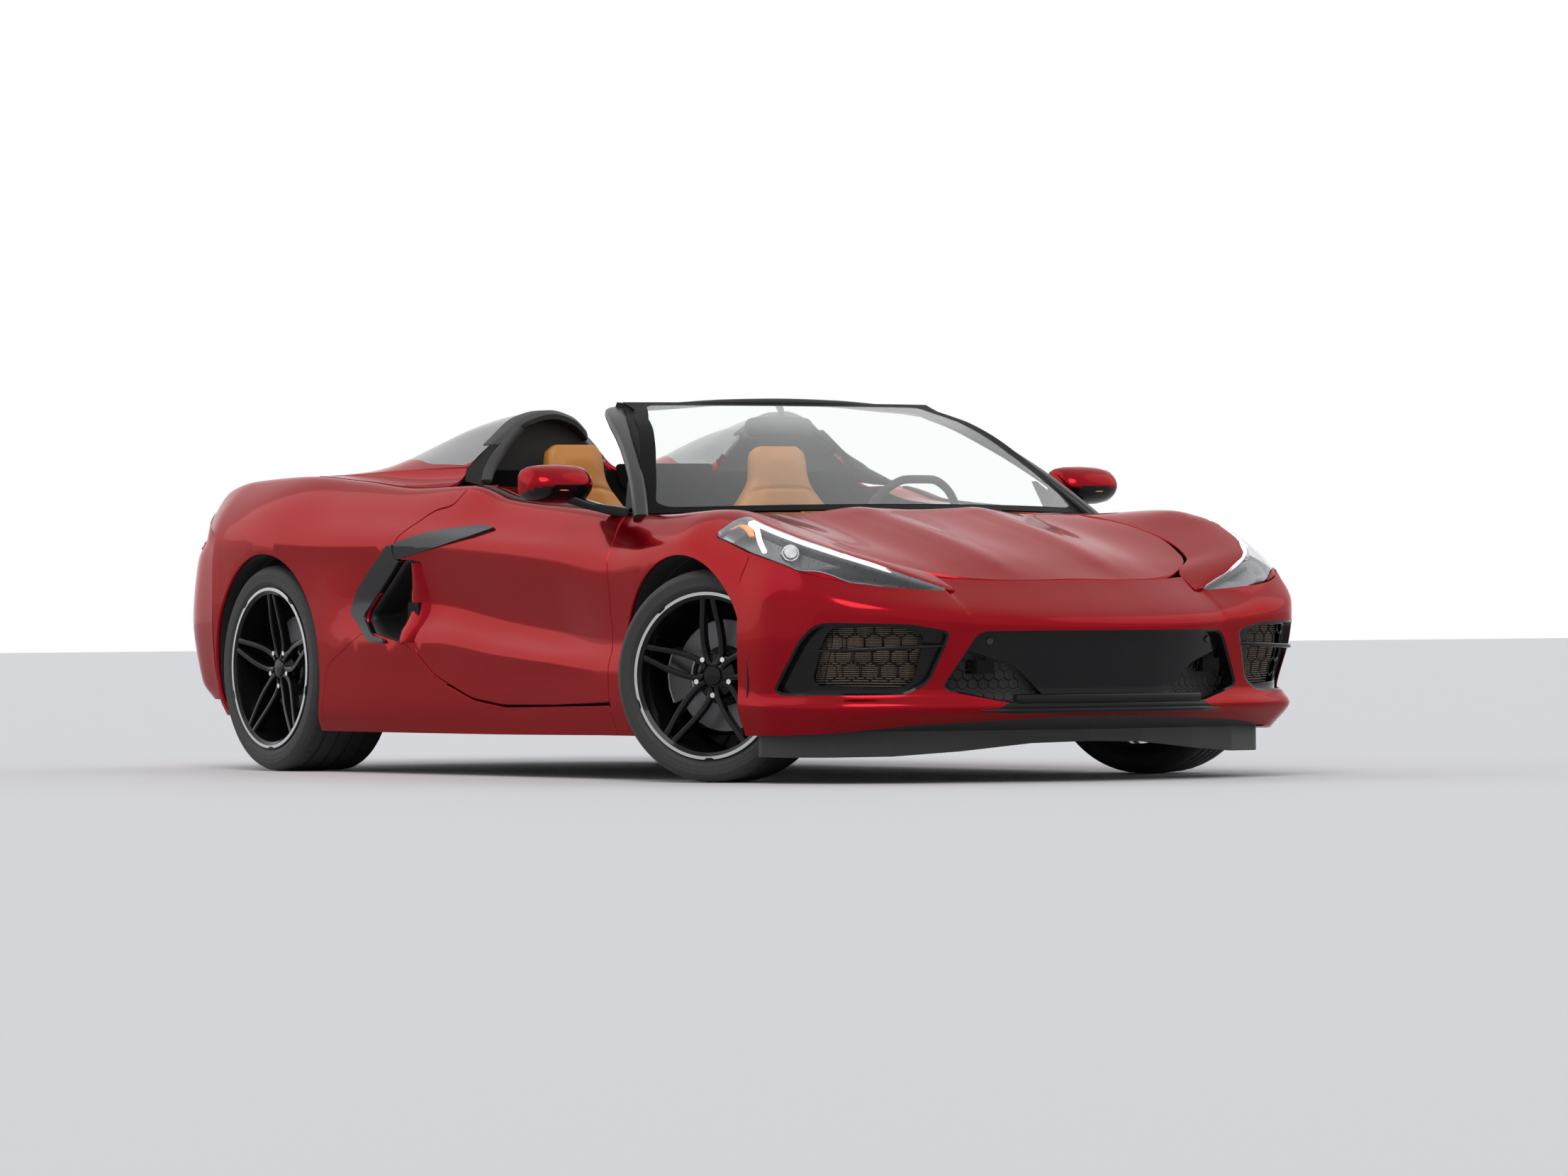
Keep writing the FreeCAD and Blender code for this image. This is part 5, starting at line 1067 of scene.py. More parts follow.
def placed_tree(kind, sizes):
    """Geometry Nodes: a small shape on every point of a mesh, turned by the points' own "turn"."""
    tree = bpy.data.node_groups.new(f"{kind}_on_points", "GeometryNodeTree")
    new, link = tree.nodes.new, tree.links.new
    tree.interface.new_socket(name="Geometry", in_out="INPUT", socket_type="NodeSocketGeometry")
    for label, socket_type, value in sizes:
        socket = tree.interface.new_socket(name=label, in_out="INPUT", socket_type=f"NodeSocket{socket_type}")
        socket.default_value = value
    tree.interface.new_socket(name="Finish", in_out="INPUT", socket_type="NodeSocketMaterial")
    tree.interface.new_socket(name="Geometry", in_out="OUTPUT", socket_type="NodeSocketGeometry")
    start, end = new("NodeGroupInput"), new("NodeGroupOutput")
    placer = new("GeometryNodeInstanceOnPoints")
    turn = new("GeometryNodeInputNamedAttribute")
    turn.data_type = "FLOAT_VECTOR"
    turn.inputs["Name"].default_value = "turn"
    if kind == "stud":
        shape = new("GeometryNodeMeshCone")
        for label, socket in (("Sides", "Vertices"), ("Foot Radius", "Radius Bottom"),
                              ("Head Radius", "Radius Top"), ("Height", "Depth")):
            link(start.outputs[label], shape.inputs[socket])
        formed = shape.outputs["Mesh"]
    elif kind == "cell":
        shape = new("GeometryNodeCurvePrimitiveCircle")
        shape.mode = "RADIUS"
        shape.inputs["Resolution"].default_value = 6
        link(start.outputs["Radius"], shape.inputs["Radius"])
        wire = new("GeometryNodeCurvePrimitiveCircle")
        wire.inputs["Resolution"].default_value = 4
        link(start.outputs["Wire"], wire.inputs["Radius"])
        tube = new("GeometryNodeCurveToMesh")
        link(shape.outputs["Curve"], tube.inputs["Curve"])
        link(wire.outputs["Curve"], tube.inputs["Profile Curve"])
        formed = tube.outputs["Mesh"]
    elif kind == "bar":
        shape = new("GeometryNodeMeshCube")
        link(start.outputs["Size"], shape.inputs["Size"])
        formed = shape.outputs["Mesh"]
    else:
        shape = new("GeometryNodeMeshIcoSphere")
        shape.inputs["Radius"].default_value, shape.inputs["Subdivisions"].default_value = 0.5, 1
        grow = new("GeometryNodeTransform")
        link(shape.outputs["Mesh"], grow.inputs["Geometry"])
        link(start.outputs["Size"], grow.inputs["Scale"])
        formed = grow.outputs["Geometry"]
    link(start.outputs["Geometry"], placer.inputs["Points"])
    link(formed, placer.inputs["Instance"])
    link(turn.outputs["Attribute"], placer.inputs["Rotation"])
    real, finish = new("GeometryNodeRealizeInstances"), new("GeometryNodeSetMaterial")
    link(placer.outputs["Instances"], real.inputs[0])
    link(real.outputs[0], finish.inputs["Geometry"])
    link(start.outputs["Finish"], finish.inputs["Material"])
    link(finish.outputs[0], end.inputs[0])
    return tree


point_trees = {kind: placed_tree(kind, inputs) for kind, inputs in (
    ("stud", (("Sides", "Int", 6), ("Foot Radius", "Float", 0.01), ("Head Radius", "Float", 0.008),
              ("Height", "Float", 0.02))),
    ("bar", (("Size", "Vector", (0.01, 0.01, 0.01)),)),
    ("stitch", (("Size", "Vector", (0.005, 0.001, 0.001)),)),
    ("cell", (("Radius", "Float", 0.03), ("Wire", "Float", 0.002))))}


def on_points(name, kind, points, along, out_way, finish, body, smooth=False, **sizes):
    """Small like shapes, one a point: their X runs along and their Z points out; a plain mesh on its body."""
    points = np.array(points, float).reshape(-1, 3)
    turns = []
    for x_way, z_way in zip(np.broadcast_to(along, points.shape), np.broadcast_to(out_way, points.shape)):
        z_way = Vector(z_way).normalized()
        x_way = Vector(x_way)
        x_way = (x_way - z_way * x_way.dot(z_way)).normalized()
        turns.append(Matrix((x_way, z_way.cross(x_way), z_way)).transposed().to_euler()[:])
    seeds = bpy.data.meshes.new(name + "_points")
    seeds.from_pydata(points.tolist(), [], [])
    seeds.attributes.new("turn", "FLOAT_VECTOR", "POINT").data.foreach_set("vector", np.array(turns).ravel())
    holder = in_scene(name, seeds)
    modifier = holder.modifiers.new("repeat", "NODES")
    modifier.node_group = point_trees[kind]
    values = {"Finish": finish} | {label.replace("_", " "): value for label, value in sizes.items()}
    for socket in point_trees[kind].interface.items_tree:
        if socket.in_out == "INPUT" and socket.name in values:
            modifier[socket.identifier] = values[socket.name]
    plain_mesh = bpy.data.meshes.new_from_object(holder.evaluated_get(bpy.context.evaluated_depsgraph_get()))
    holder.modifiers.clear()
    holder.data = plain_mesh
    if smooth:
        plain_mesh.polygons.foreach_set("use_smooth", [True] * len(plain_mesh.polygons))
    return dress(holder, body, None)


def round_the_axle(count):
    """Directions from the axle outwards, evenly spaced."""
    turns = 2 * math.pi * np.arange(count) / count
    return np.stack([np.cos(turns), np.zeros(count), np.sin(turns)], axis=1)


for axle_name, axle in wheel_sizes.items():
    rim_half, bead, flange, face, reach = (axle[key] for key in ("rim", "bead", "flange", "face", "disc"))
    hub_front, hub_back = face - 0.034, face - 0.076
    disc_back, disc_front = hub_back - 0.062, hub_back - 0.034
    rows = np.array(blade_rows) / 1000 * ((bead - 0.009) / bead_at_drawing, 1, 1, 1, 1)
    spoke_radii = np.linspace(rows[0, 0], bead - 0.006, 18)
    spoke_stations = curve_through([tuple(row) for row in rows], spoke_radii)
    tyre_line, tread_half = tyre_profile(axle), axle["half"] - 0.024
    slotted = [(r - 0.0035 * (r > axle["radius"] - 0.004 and 0.68 < abs(y) / tread_half < 0.99), y)
               for r, y in tyre_line]
    rim_line = [(bead - 0.012, -rim_half), (flange, -rim_half), (flange, -rim_half + 0.006),
                (bead, -rim_half + 0.009), (bead, rim_half - 0.010), (flange - 0.001, rim_half - 0.006),
                (flange - 0.001, rim_half - 0.001), (flange - 0.004, rim_half + 0.001),
                (flange - 0.012, rim_half + 0.001), (bead - 0.008, rim_half - 0.006),
                (bead - 0.010, rim_half - 0.016), (bead - 0.013, rim_half - 0.034),
                (bead - 0.016, -rim_half + 0.04)]
    hub_line = [(0.0, hub_front - 0.003), (0.034, hub_front - 0.003), (0.046, hub_front - 0.012),
                (0.066, hub_front - 0.018), (0.072, hub_front - 0.030), (0.074, hub_back), (0.0, hub_back)]
    lip = [(flange - 0.012, rim_half + 0.0002), (flange - 0.0115, rim_half + 0.0022),
           (flange - 0.002, rim_half + 0.0022), (flange - 0.0008, rim_half + 0.001),
           (flange - 0.001, rim_half - 0.004), (flange - 0.003, rim_half - 0.004)]
    notched_lip = [(min(r, flange - 0.0075), y) for r, y in lip]
    cap = [(0.0, hub_front + 0.0045), (0.018, hub_front + 0.004), (0.028, hub_front + 0.002),
           (0.031, hub_front - 0.002), (0.031, hub_front - 0.01), (0.0, hub_front - 0.01)]
    bell = [(0.0, disc_back + 0.006), (0.086, disc_back + 0.006), (0.094, disc_front - 0.004),
            (0.092, disc_front + 0.002), (0.085, disc_front + 0.008), (0.082, hub_back - 0.004),
            (0.078, hub_back),
            (0.0, hub_back)]
    for side, side_name in sides:
        place, body = f"{axle_name}_{side_name}", f"wheel_{axle_name}_{side_name}"
        origin = on_axle([(0, 0, 0)], axle, side)[0]
        axis = on_axle([(0, 1, 0)], axle, side)[0] - origin
        turned_piece(f"tyre_tread_{place}", lambda k: slotted if k % 6 < 2 else tyre_line, 360, axle, side,
                     40, body, tyre_rubber, f"tyre_{place}")
        bm = bmesh.new()
        lathed(bm, rim_line, 120)
        lathed(bm, hub_line, 60)
        for k in range(spoke_count):
            turn = Matrix.Rotation(2 * math.pi * k / spoke_count, 3, "Y")
            for way in (1, -1):
                rings = []
                for r, (sideways, wide, level, deep) in zip(spoke_radii, spoke_stations):
                    section = ((0.7, -deep), (1, -deep * 0.3), (0.82, -0.0015), (0.3, 0.0006), (-0.3, 0.0006),
                               (-0.82, -0.0015), (-1, -deep * 0.3), (-0.7, -deep))
                    rings.append([turn @ Vector((way * sideways + a * wide, face + level + b, r))
                                  for a, b in section])
                skin_between(bm, rings)
        dress(wheel_piece(f"wheel_{place}", bm, axle, side, 32), body, gloss_black, f"rim_{place}")
        turned_piece(f"wheel_lip_{place}", lambda k: notched_lip if (k + 9) % 36 in (0, 1, 2) else lip, 180,
                     axle, side, 35, body, machined)
        turned_piece(f"wheel_cap_{place}", cap, 48, axle, side, 40, body, gloss_black)
        angles = 2 * math.pi * (np.arange(spoke_count) + 0.5) / spoke_count
        nut_points = on_axle([(nut_circle * math.sin(a), hub_front - 0.006, nut_circle * math.cos(a))
                              for a in angles], axle, side)
        on_points(f"wheel_nuts_{place}", "stud", nut_points - axis * 0.011, (0, 0, 1), axis, chrome, body,
                  Sides=6, Foot_Radius=0.0115, Head_Radius=0.0085, Height=0.020)
        radial = round_the_axle(160)
        rib_points = on_axle(radial * ((flange + axle["radius"]) / 2 + 0.004)
                             + (0, axle["half"] - 0.0004, 0), axle, side)
        on_points(f"tyre_ribs_{place}", "bar", rib_points, on_axle(radial, axle, side) - origin, axis,
                  tyre_rubber, body, Size=(0.014, 0.0012, 0.0018))
        bm = bmesh.new()
        for low, high in ((disc_back, disc_back + 0.009), (disc_front - 0.009, disc_front)):
            lathed(bm, [(0.088, low), (reach - 0.001, low), (reach, low + 0.001), (reach, high - 0.001),
                        (reach - 0.001, high), (0.088, high)], 90)
        dress(wheel_piece(f"disc_plates_{place}", bm, axle, side, 40), body, disc_steel, f"disc_{place}")
        turned_piece(f"disc_bell_{place}", bell, 60, axle, side, 40, body, caliper_black)
        radial = round_the_axle(40)
        vane_points = on_axle(radial * (0.088 + reach) / 2 + (0, (disc_back + disc_front) / 2, 0), axle, side)
        on_points(f"disc_vanes_{place}", "bar", vane_points, on_axle(radial, axle, side) - origin, axis,
                  disc_steel, body, Size=(reach - 0.094, 0.004, disc_front - disc_back - 0.016))
        rings = []
        for step in np.linspace(-1, 1, 15):
            angle = (math.pi if axle_name == "front" else 0.0) + math.radians(27.5) * step
            ease = 1 - 0.12 * abs(step) ** 6
            outline = ((-0.071, disc_front + 0.006), (0.006, disc_front + 0.006), (0.006, disc_back - 0.006),
                       (-0.071, disc_back - 0.006), (-0.071, disc_back - 0.0285), (-0.062, disc_back - 0.030),
                       (0.012 * ease, disc_back - 0.030), (0.0205 * ease, disc_back - 0.022),
                       (0.0205 * ease, disc_front + 0.017), (0.012 * ease, disc_front + 0.0255),
                       (-0.030, disc_front + 0.0262), (-0.062, disc_front + 0.0255),
                       (-0.072, disc_front + 0.017))
            rings.append([((reach + r) * math.cos(angle), y, (reach + r) * math.sin(angle))
                          for r, y in outline])
        bm = bmesh.new()
        skin_between(bm, rings)
        holder = f"steer_{side_name}" if axle_name == "front" else "body"
        dress(wheel_piece(f"caliper_{place}", bm, axle, side, 35), holder, caliper_black)

# Nose openings: each has a gloss black surround. Black honeycomb and coated cooler fins show in the side
# intakes, each crossed by a thin blade; a black panel with two bare sensors fills the middle one.
fin_finish = grained("cooler_fins", (0.17, 0.125, 0.088), (0.30, 0.23, 0.165), scale=300.0, rough=(0.45, 0.6),
                     bump=0.1, Metallic=0.3)
middle_panel_rim = ((-437, 454), (437, 454), (470, 398), (330, 352), (236, 268), (-236, 268), (-330, 352),
                    (-470, 398))
mesh_corner_rim = ((474, 396), (334, 350), (240, 266), (336, 244), (536, 284))
side_frame_rim = ((596, 452), (660, 468), (846, 474), (864, 430), (868, 292), (650, 286), (612, 306))
chin_rim = ((-405, 214), (405, 214), (352, 243), (-352, 243))
dam_line = np.array(((0, 2130), (200, 2110), (420, 2060), (620, 1985), (780, 1880), (868, 1760))) / 1000
sensor_place = (0.405, 0.425)
fin_rise, fin_spacing = 0.0062, 0.022
upright = np.array((0, 0, 1.0))


def round_loop(bm, points, normals, section):
    """Sweeps a section of (outwards, proud) round a closed loop of points with their normals."""
    rings = []
    for k in range(len(points)):
        run = points[(k + 1) % len(points)] - points[k - 1]
        run /= np.linalg.norm(run)
        across = np.cross(run, normals[k])
        rings.append([points[k] + across * a + normals[k] * b for a, b in section])
    skin_between(bm, rings, closed=True)


def on_nose(outline):
    """Points and normals of the nose's sheet at points of (y, z) in metres."""
    return nose_sheet.at(nose_loop(outline))


def honeycomb(name, outline, depth, radius, wire):
    """Six-sided black wire cells under the nose's sheet, inside an outline of (y, z) in metres."""
    low, high = outline.min(axis=0), outline.max(axis=0)
    centres = np.array([(y, z) for row, z in enumerate(np.arange(low[1], high[1], radius * 1.5))
                        for y in np.arange(low[0] + (row % 2) * radius * 0.866, high[0], radius * 1.732)])
    points, normals = on_nose(centres[within(outline, centres)])
    on_points(name, "cell", points - normals * depth, upright, normals, gloss_black, "body", Radius=radius,
              Wire=wire)


surround_bm = bmesh.new()
round_loop(surround_bm, *nose_sheet.at(grille_loop),
           ((-0.001, -0.0015), (0.007, -0.006), (0.007, -0.055), (-0.004, -0.055)))
chin_line, chin_normals = on_nose([(y, 0.256) for y in np.linspace(-0.33, 0.33, 40)])
swept(surround_bm, chin_line - chin_normals * 0.006, soft_section(0.040, 0.030, 0.010))
dress(finished("grille_surround", surround_bm, 50), "body", gloss_black, "centre_grille")
dress(end_panel("grille_panel", nose_sheet, nose_loop(rounded(middle_panel_rim, 24)), wall=0.008,
                lift=-0.028), "body", gloss_black)
dress(end_panel("grille_backing", nose_sheet, nose_loop(rounded(grille_rim, 30) * (0.99, 1)), wall=0.004,
                lift=-0.060), "body", dull_black)
for (side, name), hole_loop in zip(sides, side_grille_loops):
    honeycomb(f"grille_mesh_{name}", rounded(mesh_corner_rim, 12) * (side, 1), 0.036, 0.017, 0.0014)
    sensor, sensor_normal = on_nose([(side * sensor_place[0], sensor_place[1])])
    on_points(f"parking_sensor_{name}", "stud", sensor - sensor_normal * 0.0285, upright, sensor_normal,
              dull_black, "body", Sides=24, Foot_Radius=0.012, Head_Radius=0.010, Height=0.006)
    surround_bm = bmesh.new()
    round_loop(surround_bm, *nose_sheet.at(hole_loop),
               ((-side * 0.002, -0.001), (side * 0.008, -0.004), (side * 0.008, -0.070), (0, -0.070)))
    dress(finished(f"intake_surround_{name}", surround_bm, 50), "body", gloss_black)
    inner_rim = rounded(side_frame_rim, 24) * (side, 1)
    dress(end_panel(f"intake_frame_{name}", nose_sheet, nose_loop(widened(side_hole, -0.002) * (side, 1)),
                    [nose_loop(inner_rim)], wall=0.010, lift=-0.026), "body", gloss_black)
    dress(end_panel(f"intake_backing_{name}", nose_sheet, nose_loop(widened(side_hole, -0.004) * (side, 1)),
                    wall=0.004, lift=-0.068), "body", dull_black)
    honeycomb(f"intake_mesh_{name}", inner_rim, 0.034, 0.030, 0.0022)
    fins = np.array([(y, z) for z in np.arange(0.276, 0.480, fin_rise)
                     for y in np.arange(0.575, 0.905, fin_spacing)])
    fins = fins[within(widened(side_hole, -0.006), fins)] * (side, 1)
    points, normals = on_nose(fins)
    fin_runs = on_nose(fins + (0.004, 0))[0] - points
    on_points(f"cooler_fins_{name}", "bar", points - normals * 0.058, fin_runs, normals, fin_finish, "body",
              Size=(0.030, 0.0022, 0.010))
    points, normals = on_nose([(side * y, 0.398 + 0.016 * (0.92 - y) / 0.4)
                               for y in np.linspace(0.535, 0.872, 30)])
    rail(f"intake_blade_{name}", points - normals * 0.008,
         [(a, b) for b, a in soft_section(0.013, 0.034, 0.005)], 50, "body", gloss_black,
         scales=((0, 6, 22, 29), (0.45, 1, 1, 0.35)))
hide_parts("side_grilles")
dress(end_panel("chin_panel", nose_sheet, nose_sheet.where(rounded(chin_rim, 12, 8), (1, 2), (2.6, 5.0)),
                wall=0.004, step=0.06, lift=0.0015), "body", gloss_black)
lip_points, _ = on_nose([(y, 0.226) for y in np.linspace(-0.43, 0.43, 60)])
rail("splitter_lip", lip_points - (0.011, 0, 0.008), soft_section(0.034, 0.016, 0.006), 50, "body",
     gloss_black, "splitter", scales=((0, 6, 53, 59), (0.4, 1, 1, 0.4)))
under_rings = []
for u in np.linspace(-10, 10, 90):
    lower, lower_normal = (a[0] for a in nose_sheet.at([(u, 4.9)]))
    foot = np.array((np.interp(abs(lower[1]), dam_line[:, 0], dam_line[:, 1]) + 0.006, lower[1], 0.157))
    start = lower - lower_normal * 0.006
    under_rings.append([start, foot, foot - (0.008, 0, 0), start - (0.008, 0, -0.004)])
lofted("nose_underside", under_rings, 50, "body", dull_black)

# Deck sides and humps' fronts: a painted shoulder joins each quarter to the roof cover; black caps, seals
# and a dark corner glass close each hump towards the cabin, and a small upright pane stands between them.
cover_edge = np.array([(x, rows[-1][1]) for x, rows in sorted(cover_stations)]) / 1000
front_rim = cover_stations[0][1]
rear_wall_foot = 0.905
seal_line = ((-0.345, 0.575, 1.125), (-0.335, 0.640, 1.060), (-0.285, 0.715, 0.995), (-0.215, 0.772, 0.948))
corner_glass_rim = np.array(((-0.400, 0.742, 0.992), (-0.398, 0.700, 1.035), (-0.392, 0.640, 1.088),
                             (-0.345, 0.640, 1.062), (-0.285, 0.722, 0.992), (-0.205, 0.792, 0.938),
                             (-0.300, 0.768, 0.944), (-0.398, 0.752, 0.955)))
rear_pane_rim = ((-165, 930), (165, 930), (190, 1012), (-190, 1012))
fine_y = np.linspace(-0.734, 0.734, 160)
rim_knots = np.array([(-y, z) for y, z in front_rim[:0:-1]] + list(front_rim), float) / 1000
rim_smooth = curve_through([(y, z, 0) for y, z in rim_knots], fine_y)[:, 0]
wall_loop = [*((y, z - 0.004) for y, z in zip(fine_y, rim_smooth)), (0.734, rear_wall_foot),
             (-0.734, rear_wall_foot)]
lofted("cabin_rear_wall", [[(x, y, z) for y, z in wall_loop] for x in (-0.404, -0.412)], 40, "roof_cover",
       soft_black)
for side, name in sides:
    flip = np.array((1, side, 1))
    rings = []
    for x in np.linspace(-1.335, -0.398, 60):
        foot, foot_normal = (a[0] for a in quarter_sheet.at([(x, 6.25)]))
        top = np.array((x, 0.740, np.interp(x, cover_edge[:, 0], cover_edge[:, 1]) - 0.003))
        knee = np.array((x, 0.747, foot[2] + 0.25 * (top[2] - foot[2])))
        arc = [foot * (1 - t) ** 2 + knee * 2 * t * (1 - t) + top * t * t for t in np.linspace(0, 1, 9)]
        outer = [p + foot_normal * 0.0015 * (1 - k / 8) for k, p in enumerate(arc)]
        inner = [p + (0, -0.004, -0.006) for p in arc[::-1]]
        rings.append([p * flip for p in outer + inner])
    lofted(f"deck_shoulder_{name}", rings, 60, "body", paint)
    rings = []
    for y in np.linspace(0.300, 0.655, 40):
        z = np.interp(y, fine_y, rim_smooth)
        reach = 0.062 * math.sin(math.pi * min(1, max(0, (y - 0.285) / 0.385))) ** 0.5
        rings.append([(x, side * y, z + dz) for x, dz in (
            (-0.440, 0.004), (-0.395 + reach * 0.6, 0.0035), (-0.395 + reach, -0.010),
            (-0.397 + reach, -0.026), (-0.405 + reach * 0.8, -0.030), (-0.415, -0.030), (-0.440, -0.004))])
    lofted(f"hump_cap_{name}", rings, 40, "roof_cover", dull_black)
    rail(f"hump_seal_{name}", smooth_path(seal_line * flip, 24), soft_section(0.040, 0.022, 0.008), 50,
         "body", rubber, scales=((0, 12, 23), (1.1, 1, 0.8)))
    glass_rings = [(corner_glass_rim + shift) * flip for shift in ((0, 0, 0), (0.004, -0.010, 0))]
    lofted(f"corner_glass_{name}", glass_rings, 30, "body", frit)
lofted("rear_pane", [[(x, y, z) for y, z in rounded(rear_pane_rim, 20, 8)] for x in (-0.388, -0.384)], 40,
       "body", frit)

# Wipers and inner mirror: black coated arms lie along the foot of the screen, each on a pivot through the
# cowl; a flat mirror glass in a plastic shell hangs from the header on a short stalk.
inner_mirror_rim = ((-112, -24), (112, -24), (112, 24), (-112, 24))
inner_mirror_height = 1.116
for name, pivot, tip in (("driver", 0.33, -0.19), ("passenger", -0.20, -0.70)):
    ys = np.linspace(pivot, tip, 26)
    line = np.stack([1.116 - 0.378 * ys ** 2, ys, np.full(26, 0.838)], axis=1)
    wiper_bm = bmesh.new()
    swept(wiper_bm, line + (0, 0, 0.001), soft_section(0.014, 0.005, 0.002),
          scales=np.interp(np.arange(26), (0, 4, 25), (1.3, 1, 0.7)))
    swept(wiper_bm, line[8:] + (-0.012, 0, -0.001), soft_section(0.006, 0.012, 0.002, 2))
    swept(wiper_bm, ((1.116, pivot, 0.818), (1.116, pivot, 0.842)), soft_section(0.028, 0.028, 0.013),
          (0, 1, 0))
    dress(finished(f"wiper_{name}", wiper_bm, 45), "body", dull_black)
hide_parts("wipers")
mirror_bm = bmesh.new()
swept(mirror_bm, smooth_path([(0.335, 0, 1.186), (0.352, 0, 1.160), (0.345, 0, 1.138)], 10),
      soft_section(0.022, 0.016, 0.006), (0, 1, 0))
swept(mirror_bm, [(0.338, y, inner_mirror_height) for y in np.linspace(-0.122, 0.122, 21)],
      soft_section(0.030, 0.062, 0.013),
      scales=np.interp(abs(np.arange(21) - 10), (0, 7, 9, 10), (1, 1, 0.85, 0.55)))
dress(finished("inner_mirror", mirror_bm, 40), "body", dull_black)
lofted("inner_mirror_glass", [[(x, y, inner_mirror_height + z) for y, z in rounded(inner_mirror_rim, 18, 6)]
                              for x in (0.3225, 0.3205)], 30, "body", mirror_face)

# Tail: a body-coloured lip spoiler, a bare plate field with its four bolts, and polished twin exhaust tips.
# A red light guide runs round each tail lamp, and a second one lies below it.
spoiler_stations = ((-2108, ((0, 910), (400, 914), (712, 908))), (-2170, ((0, 916), (400, 916), (712, 903))),
                    (-2238, ((0, 938), (400, 934), (712, 908))))
spoiler_rim = ((-2109, 711), (-2170, 650), (-2237, 578), (-2237, -578), (-2170, -650), (-2109, -711))
guide_lines = (((480, 784), (640, 786), (780, 784), (836, 778), (858, 764), (856, 750)),
               ((540, 756), (640, 754), (740, 752), (800, 753)))
plate_field_rim = ((-272, 543), (272, 543), (302, 692), (-302, 692))
plate_middle = 0.6175
tip_line = ((0.0425, 0.0), (0.0428, 0.195), (0.0455, 0.198), (0.0460, 0.010), (0.0462, 0.003), (0.0445, 0.0))
tail_light_red = grained("red_light_guide", (0.45, 0.006, 0.008), (0.60, 0.012, 0.014), scale=90.0,
                         rough=(0.2, 0.3), bump=0.05, Emission_Color=(1, 0.02, 0.02, 1),
                         Emission_Strength=0.12)
spoiler_sheet = top_sheet(station_lines(spoiler_stations), -2238, -2108, 712)
dress(top_panel("spoiler_lip", spoiler_sheet, rounded(spoiler_rim, 18), wall=0.022, step=0.012), "body",
      paint, "spoiler")
for side, name in sides:
    guide_bm = bmesh.new()
    for line in guide_lines:
        line = np.array(line) * (side, 1) / 1000
        points, normals = tail_sheet.at(tail_sheet.where(line, (1, 2), (0.6, 2.3)))
        swept(guide_bm, smooth_path(points + normals * 0.001, 40), soft_section(0.008, 0.008, 0.0025))
    dress(finished(f"tail_light_guides_{name}", guide_bm, 50), "body", tail_light_red)
lofted("plate_field", [[(x, y * k, plate_middle + (z - plate_middle) * k)
                        for y, z in rounded(plate_field_rim, 16)]
                       for x, k in ((-2.262, 1.0), (-2.280, 1.0), (-2.282, 0.99))], 35, "body", dull_black)
on_points("plate_bolts", "stud", [(-2.283, y, 0.618 + z) for y in (-0.089, 0.089) for z in (-0.0605, 0.0605)],
          (0, 0, 1), (-1, 0, 0), chrome, "body", Sides=6, Foot_Radius=0.0055, Head_Radius=0.0048,
          Height=0.004)
for place, y in tip_places.items():
    tip_bm = bmesh.new()
    turns = 2 * math.pi * np.arange(64) / 64
    skin_between(tip_bm, [[(-2.235 + reach, y + r * math.cos(t), tip_height + r * math.sin(t))
                           for r, reach in tip_line] for t in turns], closed=True)
    dress(finished(f"exhaust_tip_{place}", tip_bm, 35), "body", chrome)
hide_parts("exhaust_tips")

# Parts whose plain shape is already right keep it, each with its own finish: frames under black coating,
# cast suspension arms and engine, dull plastic trays, felt in the front boot and arches, steel silencer.
frame_coat = grained("black_frame_coating", (0.005, 0.005, 0.0055), (0.010, 0.010, 0.011), scale=180.0,
                     rough=(0.5, 0.7), bump=0.15, Specular_IOR_Level=0.06)
cast_arm = grained("cast_aluminium", (0.26, 0.26, 0.265), (0.40, 0.40, 0.41), scale=320.0, rough=(0.45, 0.62),
                   bump=0.3, depth=0.0006, Metallic=0.85)
liner_felt = grained("liner_felt", (0.010, 0.010, 0.010), (0.024, 0.023, 0.023), scale=900.0,
                     rough=(0.85, 0.95), bump=0.5)
steel = grained("stainless_steel", (0.42, 0.41, 0.40), (0.56, 0.55, 0.54), scale=90.0, rough=(0.25, 0.4),
                bump=0.05, Metallic=1.0)
for finish, node_names in (
        (frame_coat, ("tub", "front_frame")), (liner_felt, ("front_boot", "arch_liners")),
        (fin_finish, ("radiator",)), (steel, ("silencer",)), (dull_black, ("undertray", "diffuser", "cowl")),
        (cast_arm, ("engine", "wishbones", "knuckle_left", "knuckle_right", "rear_knuckles"))):
    for node_name in node_names:
        for material_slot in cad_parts[node_name].material_slots:
            material_slot.material = finish

# Arch returns: a flange covered in felt leads from each arch's edge in to its liner, so that no gap shows
# above the wheels.
return_inner_y, return_from, return_to = 0.862, math.radians(-24), math.radians(204)
for axle, sheet in (("front", wing_sheet), ("rear", quarter_sheet)):
    middle_x, middle_z, arch_radius = (size / 1000 for size in wheel_arches[axle])
    turns = np.linspace(return_from, return_to, 76)
    directions = np.stack([np.cos(turns), np.sin(turns)], axis=1)
    arch_edge = directions * arch_radius + (middle_x, middle_z)
    skin_y = sheet.at(below_crown(sheet, arch_edge))[0][:, 1]
    for side, name in sides:
        rings = []
        for (c, s), outer_y in zip(directions, skin_y):
            corners = ((0.0006, return_inner_y), (0.004, return_inner_y), (0.004, outer_y - 0.004),
                       (0.0006, outer_y - 0.004))
            rings.append([(middle_x + (arch_radius + out) * c, side * y, middle_z + (arch_radius + out) * s)
                          for out, y in corners])
        lofted(f"arch_return_{axle}_{name}", rings, 40, "body", liner_felt)

